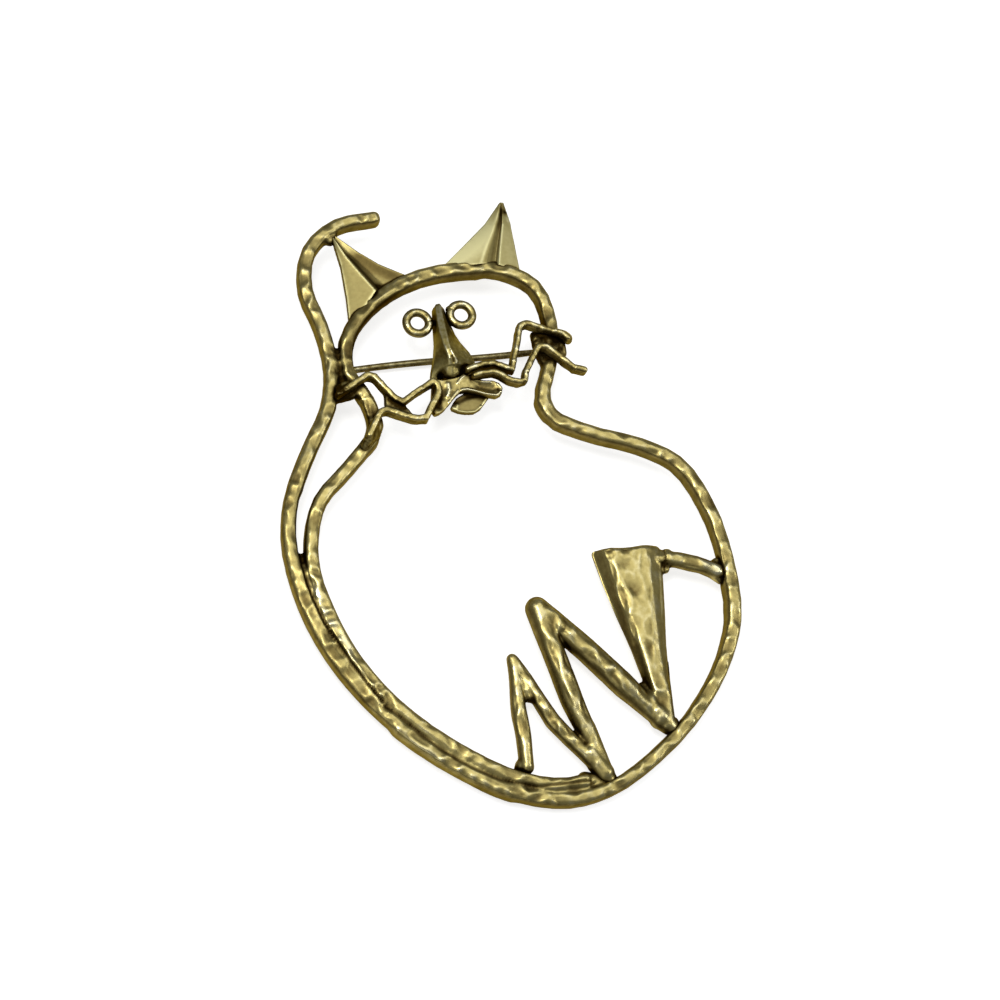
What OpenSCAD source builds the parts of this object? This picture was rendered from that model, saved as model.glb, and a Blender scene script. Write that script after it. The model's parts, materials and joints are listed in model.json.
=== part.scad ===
// Openwork cat brooch: one hammered bar bent into tail, body and head, with ears,
// eye rings, nose, lips, tongue, whiskers and a zigzag haunch soldered on, and a
// hinged pin with a hook catch on the back.
// The cat is drawn flat, front up and pin along X, and then laid on its back.

/* [Whole cat] */
// Width of the body between the middles of the bar
cat_w = 61.2; // [57:0.2:66]
// Height from the middle of the rump to the middle of the tail's top
cat_h = 87.5; // [81:0.5:94]
// Gap between two pieces that meet
seam = 0.05; // [0.03:0.01:0.08]

/* [Outline bar] */
// Width of the bar seen from the front
bar_w = 1.85; // [1.6:0.05:1.95]
// Depth of the bar from its back to its front
bar_h = 2.6; // [2.2:0.1:3]

/* [Ears] */
// Thickness of the folded ear sheet
ear_t = 0.8; // [0.6:0.1:1]
// Depth of an ear's fold below its edges
ear_fold = 1.1; // [0.6:0.1:1.3]

/* [Face] */
// Length of the nose
nose_l = 11; // [9.5:0.1:12]
// Width of the nose at its foot
nose_w = 7; // [6:0.1:7.6]
// Height of the nose's ridge at its foot
nose_h = 3.5; // [2.6:0.1:4.2]
// Radius of the tip of the nose
nose_tip_r = 1.05; // [0.8:0.05:1.2]
// Outside diameter of an eye ring
eye_d = 4.4; // [3.8:0.1:4.8]
// Diameter of the eye rings' wire
eye_wire = 1.14; // [0.9:0.02:1.3]
// Reach of each half of the lips from the middle
lip_l = 4.7; // [4.2:0.1:4.9]
// Thickness of the lips
lip_t = 2.1; // [1.8:0.1:2.2]
// Width of the tongue
tongue_w = 5.8; // [5:0.1:6.4]
// Thickness of the tongue
tongue_t = 0.9; // [0.6:0.05:1]

/* [Whiskers] */
// Width of a whisker strip seen from the front
whisker_w = 0.65; // [0.5:0.05:0.75]
// Depth of a whisker strip, which stands on edge
whisker_h = 1.8; // [1.4:0.1:2.4]

/* [Zigzag] */
// Radius of the zigzag's widest round limb
limb_r = 1.6; // [1.4:0.05:1.7]
// Width of the flared top of the last limb
flare_w = 9.8; // [8.6:0.2:10.2]

/* [Pin and fittings] */
// Radius of the pin's wire
pin_r = 0.5; // [0.4:0.05:0.55]
// Distance from the bar's back to the pin's axis
pin_drop = 2.3; // [2:0.1:2.8]
// Distance from the hinge's axis to the middle of the hook
pin_span = 31.7; // [31.6:0.1:32.8]
// Length of the pin's tapered point
pin_taper = 6.5; // [5.5:0.1:7]
// Radius of the hinge's rivet
rivet_r = 0.4; // [0.3:0.05:0.45]
// Running clearance between the rivet and the pin's eye
rivet_play = 0.05; // [0.03:0.01:0.08]
// Width of the flat eye at the pin's end
pin_eye_w = 1.1; // [0.9:0.1:1.4]
// Thickness of the hinge's cheeks and of the soldered plates
plate_t = 0.6; // [0.5:0.05:0.8]
// Length of the hook along the pin
hook_l = 2.2; // [1.8:0.1:2.8]
// Room between the pin and the hook
hook_play = 0.2; // [0.15:0.05:0.3]

/* [Hidden] */
gold = [0.72, 0.62, 0.34];
eps = 0.01;

// Knots of the bar from the tail's tip round the body and the head to the left neck:
// place as shares of the cat's width and height, and width as a share of bar_w
KW = 2;
bar_knots = [
    [-0.159, 0.511, 0.92],
    [-0.252, 0.503, 0.96],
    [-0.329, 0.462, 1.02],
    [-0.355, 0.393, 1.02],
    [-0.336, 0.328, 1.00],
    [-0.331, 0.250, 1.00],
    [-0.355, 0.189, 1.00],
    [-0.415, 0.122, 1.00],
    [-0.477, 0.040, 1.00],
    [-0.497, -0.016, 1.00],
    [-0.494, -0.100, 1.00],
    [-0.464, -0.187, 0.98],
    [-0.406, -0.271, 0.96],
    [-0.327, -0.345, 0.96],
    [-0.218, -0.416, 0.96],
    [-0.098, -0.471, 0.98],
    [0.012, -0.493, 0.98],
    [0.100, -0.487, 0.98],
    [0.219, -0.451, 0.96],
    [0.372, -0.370, 0.98],
    [0.442, -0.310, 1.00],
    [0.485, -0.252, 1.02],
    [0.503, -0.150, 1.00],
    [0.488, -0.053, 1.04],
    [0.439, 0.024, 1.06],
    [0.363, 0.060, 1.06],
    [0.227, 0.100, 1.04],
    [0.161, 0.134, 1.04],
    [0.153, 0.158, 1.04],
    [0.188, 0.221, 1.00],
    [0.211, 0.292, 1.00],
    [0.193, 0.361, 1.02],
    [0.120, 0.396, 1.02],
    [0.023, 0.405, 1.02],
    [-0.129, 0.388, 1.00],
    [-0.221, 0.350, 1.00],
    [-0.280, 0.299, 1.00],
    [-0.295, 0.247, 1.00],
    [-0.261, 0.189, 1.00],
    [-0.256, 0.147, 1.00],
    [-0.334, 0.083, 1.00],
    [-0.412, 0.034, 0.98],
    [-0.448, -0.026, 0.96],
    [-0.457, -0.078, 0.94]];

// The bar's last stretch lies inside its first one: the knot that it lies beside, counted
// from the tail's tip, and the clear gap between the two as a share of bar_w
SK = 0;
SG = 1;
strand_rows = [[10.6, 0.30], [11, 0.24], [12, 0.10], [12.6, 0.05], [13, 0.05], [14, 0.05],
    [15, 0.07], [16, 0.15], [16.5, 0.18]];

// Half section of the bar, a soft rectangle, and rings between two knots
section_points = 12;
section_power = 0.5;
section_reach = pow(cos(180 / section_points), section_power);
rings_per_knot = 3;
cap_rows = [[0.16, 0.94], [0.3, 0.78], [0.4, 0.5]];

function at(place) = [place[0] * cat_w, place[1] * cat_h];
function quarter_turn(v) = [-v[1], v[0]];
function unit(v) = v / norm(v);

// A smooth curve through points, read at the knot number u
function slope(p, i) = i == 0 ? unit(p[1] - p[0])
    : i == len(p) - 1 ? unit(p[i] - p[i - 1])
    : let(a = norm(p[i] - p[i - 1]), b = norm(p[i + 1] - p[i]))
        ((p[i + 1] - p[i]) * a / b + (p[i] - p[i - 1]) * b / a) / (a + b);
function curve(p, u) = let(
        i = max(0, min(len(p) - 2, floor(u))),
        t = u - i,
        d = norm(p[i + 1] - p[i]),
        a = (1 + 2 * t) * (1 - t) * (1 - t),
        b = t * (1 - t) * (1 - t),
        c = t * t * (3 - 2 * t),
        e = t * t * (t - 1))
    p[i] * a + slope(p, i) * b * d + p[i + 1] * c + slope(p, i + 1) * e * d;
function heading(p, u) = let(h = 0.02, last = len(p) - 1)
    unit(curve(p, min(last, u + h)) - curve(p, max(0, u - h)));
function left_of(p, u) = quarter_turn(heading(p, u));

loop_path = [for (k = bar_knots) at(k)];
loop_width = [for (k = [0 : len(bar_knots) - 1]) [k, bar_w * bar_knots[k][KW]]];
function loop_w(u) = lookup(u, loop_width);
strand_path = [for (row = strand_rows)
    curve(loop_path, row[SK]) + left_of(loop_path, row[SK])
        * (loop_w(row[SK]) + row[SG] * bar_w)];
bar_path = concat(loop_path, strand_path);
strand_w = 0.96 * bar_w;
function path_w(u) = u < len(loop_path) - 1 ? loop_w(u) : strand_w;

// A place beside the bar: side 1 is inside the cat, -1 outside, off its wall by gap
function beside(u, side, gap) = curve(bar_path, u)
    + left_of(bar_path, u) * side * (path_w(u) / 2 + gap);

// Rings joined into one closed solid, each ring a list of 3D points in the same order
module loft(rings) {
    n = len(rings[0]);
    last = len(rings) - 1;
    points = [for (ring = rings) each ring];
    sides = [for (i = [0 : last - 1], j = [0 : n - 1], half = [0, 1])
        let(a = i * n + j, b = i * n + (j + 1) % n)
        half == 0 ? [b + n, b, a] : [a + n, b + n, a]];
    caps = [[for (j = [0 : n - 1]) j], [for (j = [n - 1 : -1 : 0]) last * n + j]];
    polyhedron(points, concat(sides, caps), convexity = 10);
}

function soft(v) = sign(v) * pow(abs(v), section_power) / section_reach;
// One section of the bar: centre, the way across it, width and scale
function bar_ring(c, across, w, k) = [for (j = [0 : section_points - 1])
    let(a = 360 * (j + 0.5) / section_points)
    [c[0] + across[0] * soft(cos(a)) * w * k / 2,
        c[1] + across[1] * soft(cos(a)) * w * k / 2,
        bar_h / 2 * (1 + k * soft(sin(a)))]];
function bar_end(u, way) = [for (row = cap_rows)
    bar_ring(curve(bar_path, u) + heading(bar_path, u) * way * row[0] * bar_w,
        left_of(bar_path, u), path_w(u), row[1])];

module outline() {
    last = len(bar_path) - 1;
    steps = last * rings_per_knot;
    middle = [for (i = [0 : steps]) let(u = i / rings_per_knot)
        bar_ring(curve(bar_path, u), left_of(bar_path, u), path_w(u), 1)];
    tip = bar_end(0, -1);
    color(gold)
        loft(concat([for (i = [len(tip) - 1 : -1 : 0]) tip[i]], middle, bar_end(last, 1)));
}

// An ear is a sheet fanned from its tip to feet along the outside of the head.
// Rows of a profile: share of the way along the feet, and height as a share of ear_fold
ear_steps = 12;
ear_edge = 0.92;
left_profile = [[0, 0], [0.40, -0.75], [0.46, -1], [0.52, -0.75], [1, 0]];
right_profile = [[0, -0.35], [0.20, -0.1], [0.30, -1], [0.36, -1], [0.48, -0.1], [1, 0]];
// Knots of the bar where each ear's feet start and end
left_feet = [33.75, 35.6];
right_feet = [31.55, 33.22];
left_tip_knot = 1.2;
right_tip = [0.161, 0.517];
ear_tip_y = at(right_tip)[1];

module ear(tip, tip_rise, feet, profile) {
    top = bar_h * ear_edge;
    foot = [for (i = [0 : ear_steps]) let(s = i / ear_steps)
        concat(beside(feet[0] + s * (feet[1] - feet[0]), -1, seam),
            top + ear_fold * lookup(s, profile))];
    tip_top = concat(tip, top + tip_rise);
    down = [0, 0, -ear_t];
    upper = concat([tip_top], foot);
    points = concat(upper, [for (p = upper) p + down]);
    n = len(upper);
    fan = [for (i = [1 : n - 2]) [0, i, i + 1]];
    back = [for (f = fan) [f[2] + n, f[1] + n, f[0] + n]];
    rim = [for (i = [0 : n - 1]) let(j = (i + 1) % n) each [[j, i, i + n], [j, i + n, j + n]]];
    color(gold)
        polyhedron(points, concat(fan, back, rim), convexity = 4);
}

left_tip_rise = 0.1;
right_tip_rise = 0.5;
module ear_left() {
    ear(beside(left_tip_knot, 1, seam), left_tip_rise, left_feet, left_profile);
}
module ear_right() {
    ear(at(right_tip), right_tip_rise, right_feet, right_profile);
}

// The face is set out from the foot of the nose
face = at([-0.056, 0.216]);
face_z = 1.6;

// Rows of the nose from its foot to its top: share of nose_l, left edge, right edge and
// ridge as shares of nose_w, and height as a share of nose_h
NY = 0;
NL = 1;
NR = 2;
NC = 3;
NH = 4;
nose_rows = [
    [0.00, -0.38, 0.13, -0.08, 0.84],
    [0.09, -0.42, 0.37, -0.08, 0.96],
    [0.17, -0.35, 0.53, -0.08, 1.00],
    [0.36, -0.26, 0.36, -0.10, 0.86],
    [0.54, -0.22, 0.23, -0.12, 0.70],
    [0.82, -0.15, 0.13, -0.06, 0.54],
    [0.96, -0.11, 0.09, -0.02, 0.46],
    [1.00, -0.07, 0.05, -0.01, 0.34]];
nose_wall = 0.34;
nose_ridge_w = 0.5;

// One section of the nose: two low walls and a narrow ridge
function nose_ring(row) = let(
        y = face[1] + row[NY] * nose_l,
        l = face[0] + row[NL] * nose_w,
        r = face[0] + row[NR] * nose_w,
        c = face[0] + row[NC] * nose_w,
        top = face_z + row[NH] * nose_h,
        wall = face_z + row[NH] * nose_h * nose_wall,
        half = min(nose_ridge_w, (r - l) / 4))
    [[l, y, face_z], [l, y, wall], [c - half, y, top - eps], [c + half, y, top - eps],
        [r, y, wall], [r, y, face_z]];

nose_tip_place = [-0.2, -0.3];
nose_tip_reach = 1.4;
module nose() {
    tip = face + nose_tip_place;
    low = face_z + nose_tip_r + 0.35 * nose_h;
    color(gold) {
        loft([for (row = nose_rows) nose_ring(row)]);
        hull() {
            translate(concat(tip, low)) sphere(nose_tip_r, $fn = 16);
            translate(concat(tip + [0, nose_tip_reach], low)) sphere(nose_tip_r, $fn = 16);
        }
    }
}

// Eye rings rest against the sides of the nose, each of wire bent round to a split
eye_share = 0.765;
eye_split = 5;
eye_z = 2.7;
nose_left_rows = [for (row = nose_rows) [row[NY], row[NL] * nose_w]];
nose_right_rows = [for (row = nose_rows) [row[NY], row[NR] * nose_w]];
module eye(side, split_at) {
    rise = side < 0 ? 0 : eye_wire / 2;
    edge = lookup(eye_share + rise / nose_l, side < 0 ? nose_left_rows : nose_right_rows);
    color(gold)
        translate([face[0] + edge + side * (seam + eye_d / 2),
            face[1] + eye_share * nose_l + rise, eye_z])
        rotate([0, 0, split_at])
        rotate_extrude(angle = 360 - eye_split, $fn = 48)
        translate([(eye_d - eye_wire) / 2, 0])
        circle(d = eye_wire, $fn = 24);
}
right_eye_turn = 150;
module eye_left() {
    eye(-1, 0);
}
module eye_right() {
    eye(1, right_eye_turn);
}

// Round limbs: a chain of beads, each [x, y, z, radius], joined by hulls
module bead(b, fn) {
    translate([b[0], b[1], b[2]]) sphere(b[3], $fn = fn);
}
module limb(beads, fn = 16) {
    for (i = [0 : len(beads) - 2]) {
        hull() {
            bead(beads[i], fn);
            bead(beads[i + 1], fn);
        }
    }
}

// Beads of the lips: reach and rise from the middle as shares of lip_l, radius of lip_t
lip_middle = face + [0.19 * lip_l, -0.53 * lip_l];
lip_right = [[0, 0.09, 0.54], [0.45, -0.06, 0.46], [0.92, -0.10, 0.5], [1.0, -0.16, 0.42]];
lip_left = [[0, 0.09, 0.54], [-0.32, -0.02, 0.46], [-0.58, -0.26, 0.5], [-0.80, -0.56, 0.42]];
module lips() {
    z = face_z + 0.25 + lip_t / 2;
    color(gold)
        for (side = [lip_right, lip_left]) {
            limb([for (b = side) [lip_middle[0] + b[0] * lip_l, lip_middle[1] + b[1] * lip_l, z,
                b[2] * lip_t]], 12);
        }
}

// The tongue is a half oval plate under the lips
tongue_drop = 0.72;
tongue_steps = 20;
tongue_neck = [0.36, 0.12];
module tongue() {
    middle = lip_middle + [0.3, -1.2];
    z = face_z + 0.25 + lip_t / 2 - 0.5 * lip_t - seam - tongue_t;
    arc = [for (i = [0 : tongue_steps]) let(a = 180 + 180 * i / tongue_steps)
        middle + [cos(a) * tongue_w / 2, sin(a) * tongue_w / 2 * tongue_drop]];
    color(gold)
        translate([0, 0, z])
        linear_extrude(tongue_t)
        polygon(concat(arc, [for (side = [1, -1])
            middle + [side * tongue_neck[0], tongue_neck[1]] * tongue_w]));
}

// Whiskers are strips on edge that run from the nose over the bar. Their bends are shares of
// the cat's width and height, as the bar's knots are
// Outline of a strip: both sides of a bent line, mitred at its bends
function bend_side(p, i, side) = let(
        a = unit(i == 0 ? p[1] - p[0] : p[i] - p[i - 1]),
        b = unit(i == len(p) - 1 ? p[i] - p[i - 1] : p[i + 1] - p[i]),
        m = unit(quarter_turn(a) + quarter_turn(b)))
    p[i] + m * side * whisker_w / 2 / (m * quarter_turn(a));
strip_end_steps = 8;
function strip_end(place, way) = [for (i = [1 : strip_end_steps - 1])
    let(a = atan2(way[1], way[0]) + 90 - 180 * i / strip_end_steps)
    place + [cos(a), sin(a)] * whisker_w / 2];
module strip(p) {
    last = len(p) - 1;
    polygon(concat(
        [for (i = [0 : last]) bend_side(p, i, 1)],
        strip_end(p[last], p[last] - p[last - 1]),
        [for (i = [last : -1 : 0]) bend_side(p, i, -1)],
        strip_end(p[0], p[0] - p[1])));
}
whisker_z = bar_h + seam;

right_upper_bends = [[-0.022, 0.216], [0.014, 0.223], [0.042, 0.224], [0.083, 0.206], [0.091, 0.228],
    [0.111, 0.268], [0.123, 0.283], [0.140, 0.286], [0.180, 0.273], [0.222, 0.262], [0.234, 0.253]];
right_lower_bends = [[-0.010, 0.201], [0.036, 0.202], [0.052, 0.197], [0.070, 0.184], [0.086, 0.176],
    [0.097, 0.179], [0.111, 0.199], [0.137, 0.225], [0.158, 0.243], [0.178, 0.241], [0.208, 0.218],
    [0.226, 0.198], [0.254, 0.190]];
module whisker(bends) {
    translate([0, 0, whisker_z]) linear_extrude(whisker_h) strip([for (b = bends) at(b)]);
}
module whisker_right_upper() {
    color(gold) whisker(right_upper_bends);
}
module whisker_right_lower() {
    color(gold) whisker(right_lower_bends);
}

// The left pair is one strip bent back on itself by the nose, and a small web joins its bends
left_bends = [[-0.333, 0.199], [-0.311, 0.206], [-0.285, 0.216], [-0.259, 0.225], [-0.243, 0.221],
    [-0.224, 0.199], [-0.207, 0.181], [-0.190, 0.172], [-0.148, 0.188], [-0.112, 0.202], [-0.103, 0.197],
    [-0.106, 0.184], [-0.118, 0.168], [-0.132, 0.151], [-0.145, 0.136], [-0.162, 0.139], [-0.198, 0.151],
    [-0.230, 0.163], [-0.247, 0.160], [-0.263, 0.143], [-0.282, 0.124]];
web_bends = [5, 7, 15, 17];
web_share = 0.6;
module whiskers_left() {
    color(gold) {
        whisker(left_bends);
        translate([0, 0, whisker_z])
            linear_extrude(whisker_h * web_share)
            polygon([for (i = web_bends) at(left_bends[i])]);
    }
}

// Zigzag haunch: round limbs between peaks and feet that reach the bar.
// Peaks and bends as shares of the cat, radii as shares of limb_r
limb_z = 1.55;
leg_knot = 50.03;
foot_one_knot = 17.1;
foot_two_knot = 18.42;
strut_knot = 21.85;
foot_share = 0.56;
leg_bend = [-0.066, -0.350];
peak_one = [-0.055, -0.262];
limb_two_bend = [0.008, -0.368];
peak_two = [0.029, -0.187];
limb_three_bend = [0.062, -0.337];
limb_four_bends = [[0.119, -0.263], [0.190, -0.330]];
flare_top = [0.268, -0.115];
// Rows of the flared limb from its foot: share of its length, half width as a share of flare_w
flare_rows = [[0, 0.09], [0.24, 0.17], [0.45, 0.25], [0.65, 0.355], [0.83, 0.44], [1, 0.5]];
flare_slant = 0.07;
flare_edge_r = 0.5;
flare_crown_r = 0.9;
flare_crown_z = 1.9;
strut_share = 0.17;
strut_bends = [[0.385, -0.142], [0.412, -0.150]];

function foot(u, r) = concat(beside(u, 1, seam + r), limb_z, r);
function limb_bead(place, share) = concat(at(place), limb_z, share * limb_r);

// One section of the flared limb: low left edge, crowned middle, rounder right edge
module flare_section(row, start, end) {
    c = start + (end - start) * row[0];
    half = max(row[1] * flare_w - flare_edge_r, eps);
    lean = flare_slant * half;
    bead([c[0] - half, c[1] + lean, limb_z - 0.4, flare_edge_r], 12);
    bead([c[0] - half * 0.55, c[1] + lean * 0.5, flare_crown_z, flare_crown_r * 0.8], 12);
    bead([c[0] + half * 0.55, c[1] - lean * 0.5, flare_crown_z, flare_crown_r * 0.8], 12);
    bead([c[0] + half, c[1] - lean, limb_z, flare_edge_r * 1.2], 12);
}

module zigzag() {
    foot_r = foot_share * limb_r;
    foot_one = foot(foot_one_knot, foot_r);
    foot_two = foot(foot_two_knot, foot_r);
    flare_start = [foot_two[0], foot_two[1]];
    top = at(flare_top);
    strut_start = concat(top + [flare_w / 2 - flare_edge_r, -strut_share * flare_w], limb_z, foot_r);
    color(gold) {
        limb([foot(leg_knot, foot_r), limb_bead(leg_bend, 0.62), limb_bead(peak_one, 0.45)]);
        limb([limb_bead(peak_one, 0.45), limb_bead(limb_two_bend, 0.68), foot_one]);
        limb([foot_one, limb_bead(limb_three_bend, 0.96), limb_bead(peak_two, 1)]);
        limb([limb_bead(peak_two, 1), limb_bead(limb_four_bends[0], 1),
            limb_bead(limb_four_bends[1], 1.04), foot_two]);
        for (i = [0 : len(flare_rows) - 2]) {
            hull() {
                flare_section(flare_rows[i], flare_start, top);
                flare_section(flare_rows[i + 1], flare_start, top);
            }
        }
        limb([strut_start, limb_bead(strut_bends[0], foot_share), limb_bead(strut_bends[1], foot_share),
            foot(strut_knot, foot_r)]);
    }
}

// Pin, hinge and catch on the back. The hook's middle lies behind the right neck
pin_y = 0.264 * cat_h;
right_neck_u = 29.58;
hook_past_bar = 0.3;
hook_x = curve(bar_path, right_neck_u)[0] + hook_past_bar;
hinge_x = hook_x - pin_span;
pin_z = -pin_drop;
eye_r = rivet_r + rivet_play + plate_t;
hook_inner_r = pin_r + hook_play;
hook_wall = 0.42;
eye_lift = 0.07;
hook_outer_r = max(hook_inner_r + hook_wall, eye_r + eye_lift);
plate_top = -seam;
plate_z = plate_top - plate_t;
cheek_play = 0.06;
rivet_seat = 0.02;

// A round bar along Y, centred on the hinge's axis
module cross_bar(r, w) {
    translate([hinge_x, pin_y + w / 2, pin_z]) rotate([90, 0, 0]) cylinder(r = r, h = w, $fn = 48);
}

hinge_plate_l = 4;
module pin_hinge() {
    inner = pin_eye_w / 2 + cheek_play;
    outer = inner + plate_t;
    cheek_r = hook_outer_r / cos(lie_angle) - outer * tan(lie_angle);
    color(gold)
        difference() {
            union() {
                translate([hinge_x - hinge_plate_l / 2, pin_y - outer - plate_t, plate_z])
                    cube([hinge_plate_l, 2 * (outer + plate_t), plate_t]);
                for (side = [-1, 1]) {
                    translate([0, side * (inner + outer) / 2, 0]) {
                        cross_bar(cheek_r, plate_t);
                        translate([hinge_x - cheek_r, pin_y - plate_t / 2, pin_z])
                            cube([2 * cheek_r, plate_t, plate_z - pin_z + plate_t / 2]);
                    }
                }
            }
            cross_bar(rivet_r + rivet_seat, 4 * outer);
        }
}

module hinge_rivet() {
    length = 2 * (pin_eye_w / 2 + cheek_play + plate_t);
    color(gold) cross_bar(rivet_r, length);
}

tip_r = 0.12;
tip_l = 1.2;
pin_past = 1.3;
module pin_stem() {
    taper_start = hook_x + hook_l / 2 + pin_past - pin_taper;
    stem_start = hinge_x + (eye_r + rivet_r + rivet_play) / 2;
    taper_r = pin_r * 0.7;
    taper_at = taper_start - stem_start;
    tip_at = taper_at + pin_taper - tip_l;
    end_at = taper_at + pin_taper;
    color("silver")
        difference() {
            union() {
                cross_bar(eye_r, pin_eye_w);
                translate([stem_start, pin_y, pin_z]) rotate([0, 90, 0])
                    rotate_extrude($fn = 32)
                    polygon([[0, 0], [pin_r, 0], [pin_r, taper_at], [taper_r, tip_at],
                        [tip_r, end_at], [0, end_at]]);
            }
            cross_bar(rivet_r + rivet_play, 2 * pin_eye_w);
        }
}

pad_w = 4;
pad_h = 4.6;
pad_corner = 1.2;
module catch() {
    neck_w = hook_outer_r * 1.3;
    color(gold) {
        translate([hook_x - pad_w / 2, pin_y - pad_h / 2, plate_z]) {
            translate([pad_corner, 0, 0]) cube([pad_w - 2 * pad_corner, pad_h, plate_t]);
            translate([0, pad_corner, 0]) cube([pad_w, pad_h - 2 * pad_corner, plate_t]);
            for (x = [pad_corner, pad_w - pad_corner], y = [pad_corner, pad_h - pad_corner]) {
                translate([x, y, 0]) cylinder(r = pad_corner, h = plate_t, $fn = 32);
            }
        }
        translate([hook_x, pin_y, pin_z])
        difference() {
            union() {
                rotate([0, 90, 0]) cylinder(r = hook_outer_r, h = hook_l, center = true, $fn = 48);
                translate([-hook_l / 2, -hook_outer_r, 0])
                    cube([hook_l, neck_w, plate_z - pin_z + plate_t / 2]);
            }
            rotate([0, 90, 0]) cylinder(r = hook_inner_r, h = 2 * hook_l, center = true, $fn = 48);
            translate([-hook_l, 0, -hook_inner_r * 0.6])
                cube([2 * hook_l, 2 * hook_outer_r, 1.6 * hook_inner_r]);
        }
    }
}

// Laid on its back, the brooch stands on the hinge, the hook and the rump
rump_y = min([for (p = bar_path) p[1]]) - bar_w / 2;
reach = pin_y - rump_y;
lie_angle = atan(pin_drop / reach) + asin(hook_outer_r / norm([reach, pin_drop]));
low_z = pin_y * sin(lie_angle) + pin_z * cos(lie_angle) - hook_outer_r;
left_x = min([for (p = bar_path) p[0]]) - bar_w / 2;
right_x = max([for (p = bar_path) p[0]]) + bar_w / 2;
front_y = rump_y * cos(lie_angle) - bar_h * sin(lie_angle);
ear_back_y = ear_tip_y * cos(lie_angle) - bar_h * sin(lie_angle);

module lie() {
    translate([-(left_x + right_x) / 2, -(front_y + ear_back_y) / 2, -low_z])
        rotate([lie_angle, 0, 0])
        children();
}

lie() outline();
lie() ear_left();
lie() ear_right();
lie() eye_left();
lie() eye_right();
lie() nose();
lie() lips();
lie() tongue();
lie() whiskers_left();
lie() whisker_right_upper();
lie() whisker_right_lower();
lie() zigzag();
lie() pin_hinge();
lie() hinge_rivet();
lie() pin_stem();
lie() catch();
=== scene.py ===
"""Openwork cat brooch: the finished look of each piece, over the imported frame.

Sizes are in millimetres in the cat's own plane: X to the cat's straight shoulder, Y to
the ears, Z up from the back of the bar. CatFrame lays that plane on the brooch's back,
as the frame has it, in metres.
"""
import json
import logging
import math
from dataclasses import dataclass, field
from enum import Enum
from typing import Sequence

import bmesh
import bpy
import numpy as np
from mathutils import Matrix, Vector, noise
from mathutils.bvhtree import BVHTree


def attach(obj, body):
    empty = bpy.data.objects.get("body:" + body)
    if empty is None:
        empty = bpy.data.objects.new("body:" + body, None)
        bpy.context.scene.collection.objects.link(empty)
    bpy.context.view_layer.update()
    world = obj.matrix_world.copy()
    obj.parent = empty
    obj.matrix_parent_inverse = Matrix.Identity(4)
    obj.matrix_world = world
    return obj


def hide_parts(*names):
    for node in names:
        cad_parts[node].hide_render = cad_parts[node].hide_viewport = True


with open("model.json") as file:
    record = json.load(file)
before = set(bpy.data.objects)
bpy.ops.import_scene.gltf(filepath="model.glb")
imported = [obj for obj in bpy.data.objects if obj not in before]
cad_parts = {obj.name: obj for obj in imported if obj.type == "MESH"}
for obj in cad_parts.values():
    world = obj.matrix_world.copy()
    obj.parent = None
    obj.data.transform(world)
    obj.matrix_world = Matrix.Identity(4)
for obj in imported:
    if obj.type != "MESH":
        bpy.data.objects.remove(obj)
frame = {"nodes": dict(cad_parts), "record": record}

LOG = logging.getLogger("cat_brooch")
PER_METRE = 1000.0

Ball = tuple[float, float, float, float]
Path = tuple[tuple[float, float], ...]
Colour = tuple[float, float, float]


class Body(Enum):
    """The two bodies of the brooch."""

    BROOCH = "brooch"
    PIN = "pin"


class MetalSlot(Enum):
    """The record's material slots."""

    GOLD = "antique_gold"
    WIRE = "pin_wire"


def ramp(value: np.ndarray, low: float, high: float) -> np.ndarray:
    """Rise smoothly from 0 at low to 1 at high."""
    t = np.clip((value - low) / (high - low), 0.0, 1.0)
    return t * t * (3.0 - 2.0 * t)


@dataclass
class CatFrame:
    """Places the cat's own plane in the frame, from the pin's joint.

    Attributes:
        hinge: the middle of the hinge's rivet in the cat's plane.
    """

    hinge: tuple[float, float, float] = (-18.8467, 23.1, -2.3)
    lay: Matrix = field(init=False)

    def __post_init__(self) -> None:
        """Work out the turn and the shift from the record."""
        joint = frame["record"]["behaviour"]["joints"][0]
        turn = Matrix.Rotation(math.atan2(joint["axis"][2], joint["axis"][1]), 4, "X")
        shift = Vector(joint["pos_m"]) * PER_METRE - turn @ Vector(self.hinge)
        self.lay = Matrix.Scale(1.0 / PER_METRE, 4) @ Matrix.Translation(shift) @ turn

    def place(self, x: float, y: float, z: float) -> Vector:
        """Give the frame's point for a point of the cat's plane.

        Args:
            x: millimetres to the straight shoulder.
            y: millimetres to the ears.
            z: millimetres up from the back of the bar.

        Returns:
            The same point in metres, in the frame.
        """
        return self.lay @ Vector((x, y, z))


CAT = CatFrame()


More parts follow.
